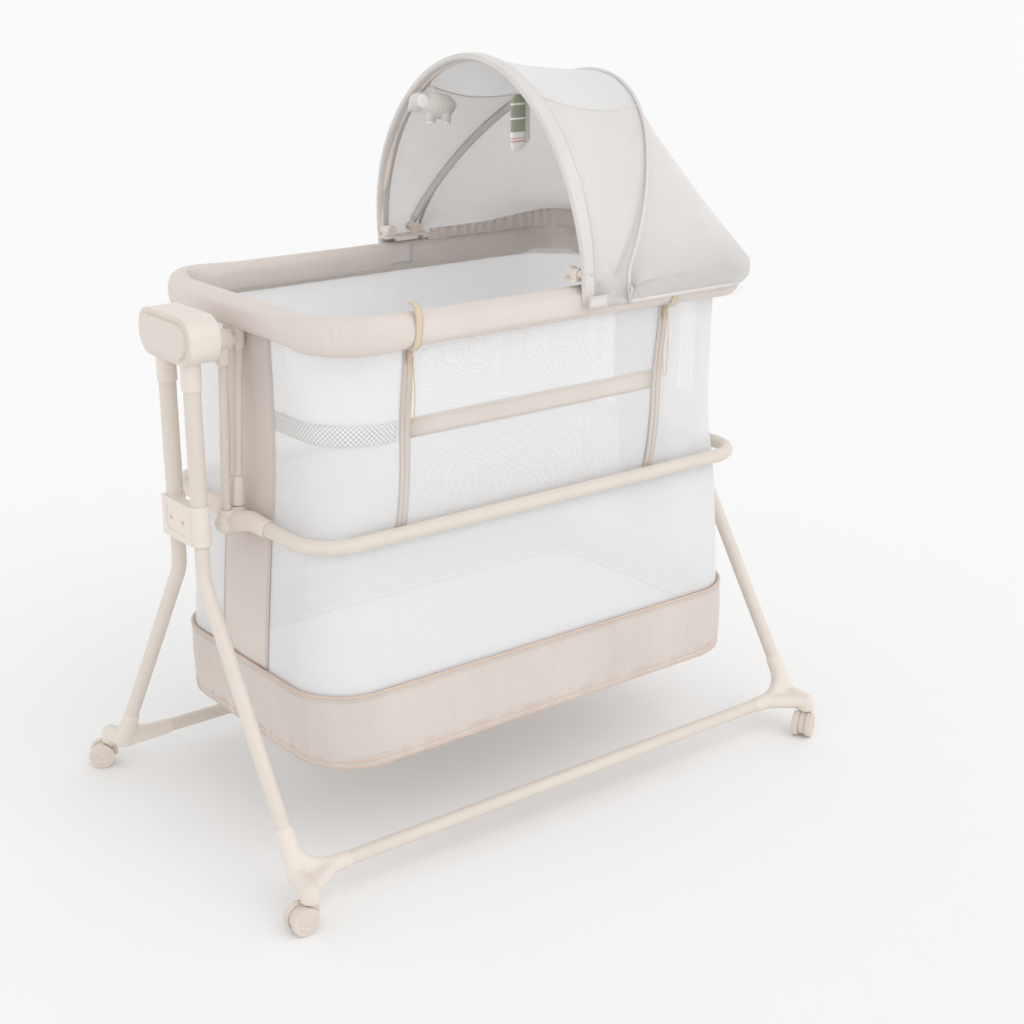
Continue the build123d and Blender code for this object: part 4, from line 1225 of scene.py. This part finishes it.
def binding_length(name, line, body, pivot):
    thick = 0.0058
    rows = []
    for i, point in enumerate(line):
        before, after = line[max(0, i - 1)], line[min(len(line) - 1, i + 1)]
        way = (after - before).normalized()
        ahead = Vector((1, 0, 0))
        out = ahead.cross(way).normalized()
        reach = 0.0055 + 0.0065 * clamp((point.z - pivot) / 0.12)      # narrower behind, near the foot
        row = []
        for k in range(22):
            a = math.tau * k / 22
            w = math.copysign(abs(math.cos(a)) ** 0.75, math.cos(a)) * (reach if math.cos(a) > 0 else 0.0150)
            h = math.copysign(abs(math.sin(a)) ** 0.75, math.sin(a)) * thick
            h *= 1 + 0.10 * noise.noise(Vector((point.y * 60, point.z * 60, k * 0.4)))
            row.append(point + ahead * w + out * h)
        rows.append(row)
    data = grid_mesh(name, rows, closed=True)
    repair(data, cap=30, outward=True)
    piece = make_piece(name, data, MATERIALS["binding"], body)
    for side, k in (("front", 9), ("rear", 2)):
        points = [row[k] for row in rows]
        normals = [(row[k] - sum(row, Vector()) / len(row)).normalized() for row in rows]
        stitches(f"{name}_{side}_stitches", points, normals, body)


def make_sleeves(rear, rear_edge):
    """The sewn sleeve over the rear hoop and its piping on the outside."""
    line = arch_points(rear, 0.0, 72)
    data = tube_mesh("canopy_rear_sleeve", line[1:-1], 0.0062, 12)
    make_piece("canopy_rear_sleeve", data, MATERIALS["canopy"], "canopy_rear")
    outer = cover_edge(rear, COVER_OUT + 0.0012, rear_edge[0].z + 0.004, REAR_BACK, 121)
    data = tube_mesh("canopy_rear_piping", outer, 0.0030, 10)
    make_piece("canopy_rear_piping", data, MATERIALS["binding"], "canopy_rear")


# ---------------------------------------------------------------- toys

def blob(made, centre, size, turn=0.0, rings=16):
    """Adds an egg shape to a bmesh."""
    matrix = Matrix.Translation(centre) @ Matrix.Rotation(turn, 4, "Y") @ Matrix.Diagonal((*size, 1.0))
    bmesh.ops.create_uvsphere(made, u_segments=rings * 2, v_segments=rings, radius=1.0, matrix=matrix)


def place_toy(piece, node, turn):
    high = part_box(node)[1]
    joint = JOINTS[f"{node}_swing"]
    piece.data.transform(Matrix.Translation((joint["pos_m"][0], joint["pos_m"][1], high.z))
                         @ Matrix.Rotation(math.radians(turn), 4, "Z"))


def toy_part(name, shapes, material, voxel=0.0016, smooth_steps=6):
    """One remeshed piece of the plush animal, from egg shapes."""
    made = bmesh.new()
    for shape in shapes:
        blob(made, *shape)
    data = mesh_from(made, name)
    piece = make_piece(name, data, material, None)
    voxel_remesh(piece, voxel, smooth_steps)
    paint(piece.data, material)
    piece.data.shade_smooth()
    place_toy(piece, "toy_animal", ANIMAL_TURN)
    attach(piece, "toy_animal")
    return piece


ANIMAL_TURN = 142


def make_animal():
    """A plain plush four-legged animal: body, head, ears, legs, tail and button eyes."""
    body = [((-0.007, 0, -0.0395), (0.0290, 0.0205, 0.0205)), ((0.022, 0, -0.034), (0.0165, 0.0155, 0.0155)),
            ((0.034, 0, -0.041), (0.0060, 0.0065, 0.0095), -0.5)]
    for x in (-0.021, 0.004):
        for y in (-0.0105, 0.0105):
            body.append(((x, y, -0.056), (0.0072, 0.0070, 0.0105)))
    animal = toy_part("toy_animal_body", body, MATERIALS["plush"], smooth_steps=4)
    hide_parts("toy_animal")
    for side, y in (("near", -1), ("far", 1)):
        toy_part(f"toy_animal_ear_{side}", [((0.015, y * 0.0150, -0.031), (0.0105, 0.0032, 0.0120), 0.3)],
                 MATERIALS["plush_light"])
        toy_part(f"toy_animal_eye_{side}", [((0.0318, y * 0.0085, -0.0300), (0.0014, 0.0014, 0.0014))],
                 MATERIALS["bead"], voxel=0.0004, smooth_steps=1)
    tail = ((-0.0350, 0, -0.036), (0.0022, 0.0016, 0.0070), 0.5)
    toy_part("toy_animal_tail", [tail], MATERIALS["plush_light"], voxel=0.0008)
    feet = [((x, y, -0.0645), (0.0076, 0.0074, 0.0032)) for x in (-0.021, 0.004) for y in (-0.0105, 0.0105)]
    toy_part("toy_animal_feet", feet, MATERIALS["plush_light"], voxel=0.0010)
    toy_string("toy_animal", -0.019)


def toy_string(node, bottom):
    """A short loop of cord from the hoop's band to the toy."""
    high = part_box(node)[1]
    x, y, _ = JOINTS[f"{node}_swing"]["pos_m"]
    line = [Vector((x + 0.0016 * math.sin(t * math.pi), y, high.z + bottom * (1 - t))) for t in
            [k / 10 for k in range(11)]]
    line += [Vector((2 * x - p.x, p.y, p.z)) for p in reversed(line[:-1])]
    name = f"{node}_string"
    make_piece(name, tube_mesh(name, line, 0.0006, 8), MATERIALS["plush_light"], node)


PANEL_TURN = 5


def make_panel_toy():
    """Two soft cloth leaves sewn together at the top, with plain stripes."""
    low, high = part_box("toy_panel")
    sage, white, rose = (0.33, 0.36, 0.27), (0.88, 0.87, 0.84), (0.80, 0.45, 0.40)
    bands = [(low.z - 0.001, white), (low.z + 0.014, rose), (low.z + 0.017, white), (low.z + 0.019, rose),
             (low.z + 0.021, white), (low.z + 0.029, sage), (low.z + 0.047, white), (low.z + 0.050, sage),
             (low.z + 0.068, white), (low.z + 0.071, sage), (high.z, sage)]
    stripes = striped("toy_stripes", bands)
    for name, material, shift, aside, half_width, height in (
            ("toy_panel_leaf_striped", stripes, -0.0030, -0.0060, 0.0145, 0.084),
            ("toy_panel_leaf_plain", MATERIALS["plush_light"], 0.0025, 0.0130, 0.0105, 0.076)):
        rows = []
        outline_points = outline(half_width, height / 2, 0.010, 10, 14, 6)
        for share, size in ((-1.0, 0.90), (-0.8, 0.97), (0.0, 1.0), (0.8, 0.97), (1.0, 0.90)):
            rows.append([Vector((aside + x * size, shift + share * 0.0024, -0.006 - height / 2 + z * size))
                         for (x, z), _ in outline_points])
        data = grid_mesh(name, rows, closed=True)
        repair(data, cap=200, outward=True)
        leaf = make_piece(name, data, material, None)
        puff(leaf, 0.0020, pressure=3.0, cap=0.0012, smooth_steps=3)
        leaf.data.shade_smooth()
        place_toy(leaf, "toy_panel", PANEL_TURN)
        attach(leaf, "toy_panel")
        if shift < 0:
            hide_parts("toy_panel")
    toy_string("toy_panel", -0.008)


# ---------------------------------------------------------------- build

make_camera()
make_light()
make_floor()
MATERIALS = make_materials()
LEVELS = measured_levels()
dress_frame()
for corner_name in CORNERS:
    foot_moulding(corner_name)
    hub_cap(corner_name)
for end_name in ENDS:
    smooth_moulding(f"ring_joint_{end_name}", "cradle", 0.0014, 8)
make_rim()
make_mesh_body()
make_strips()
make_zip_pulls()
make_base_band()
make_mattress()
dress_board()
make_canopy()
make_head_band()
make_rim_patches()
make_animal()
make_panel_toy()
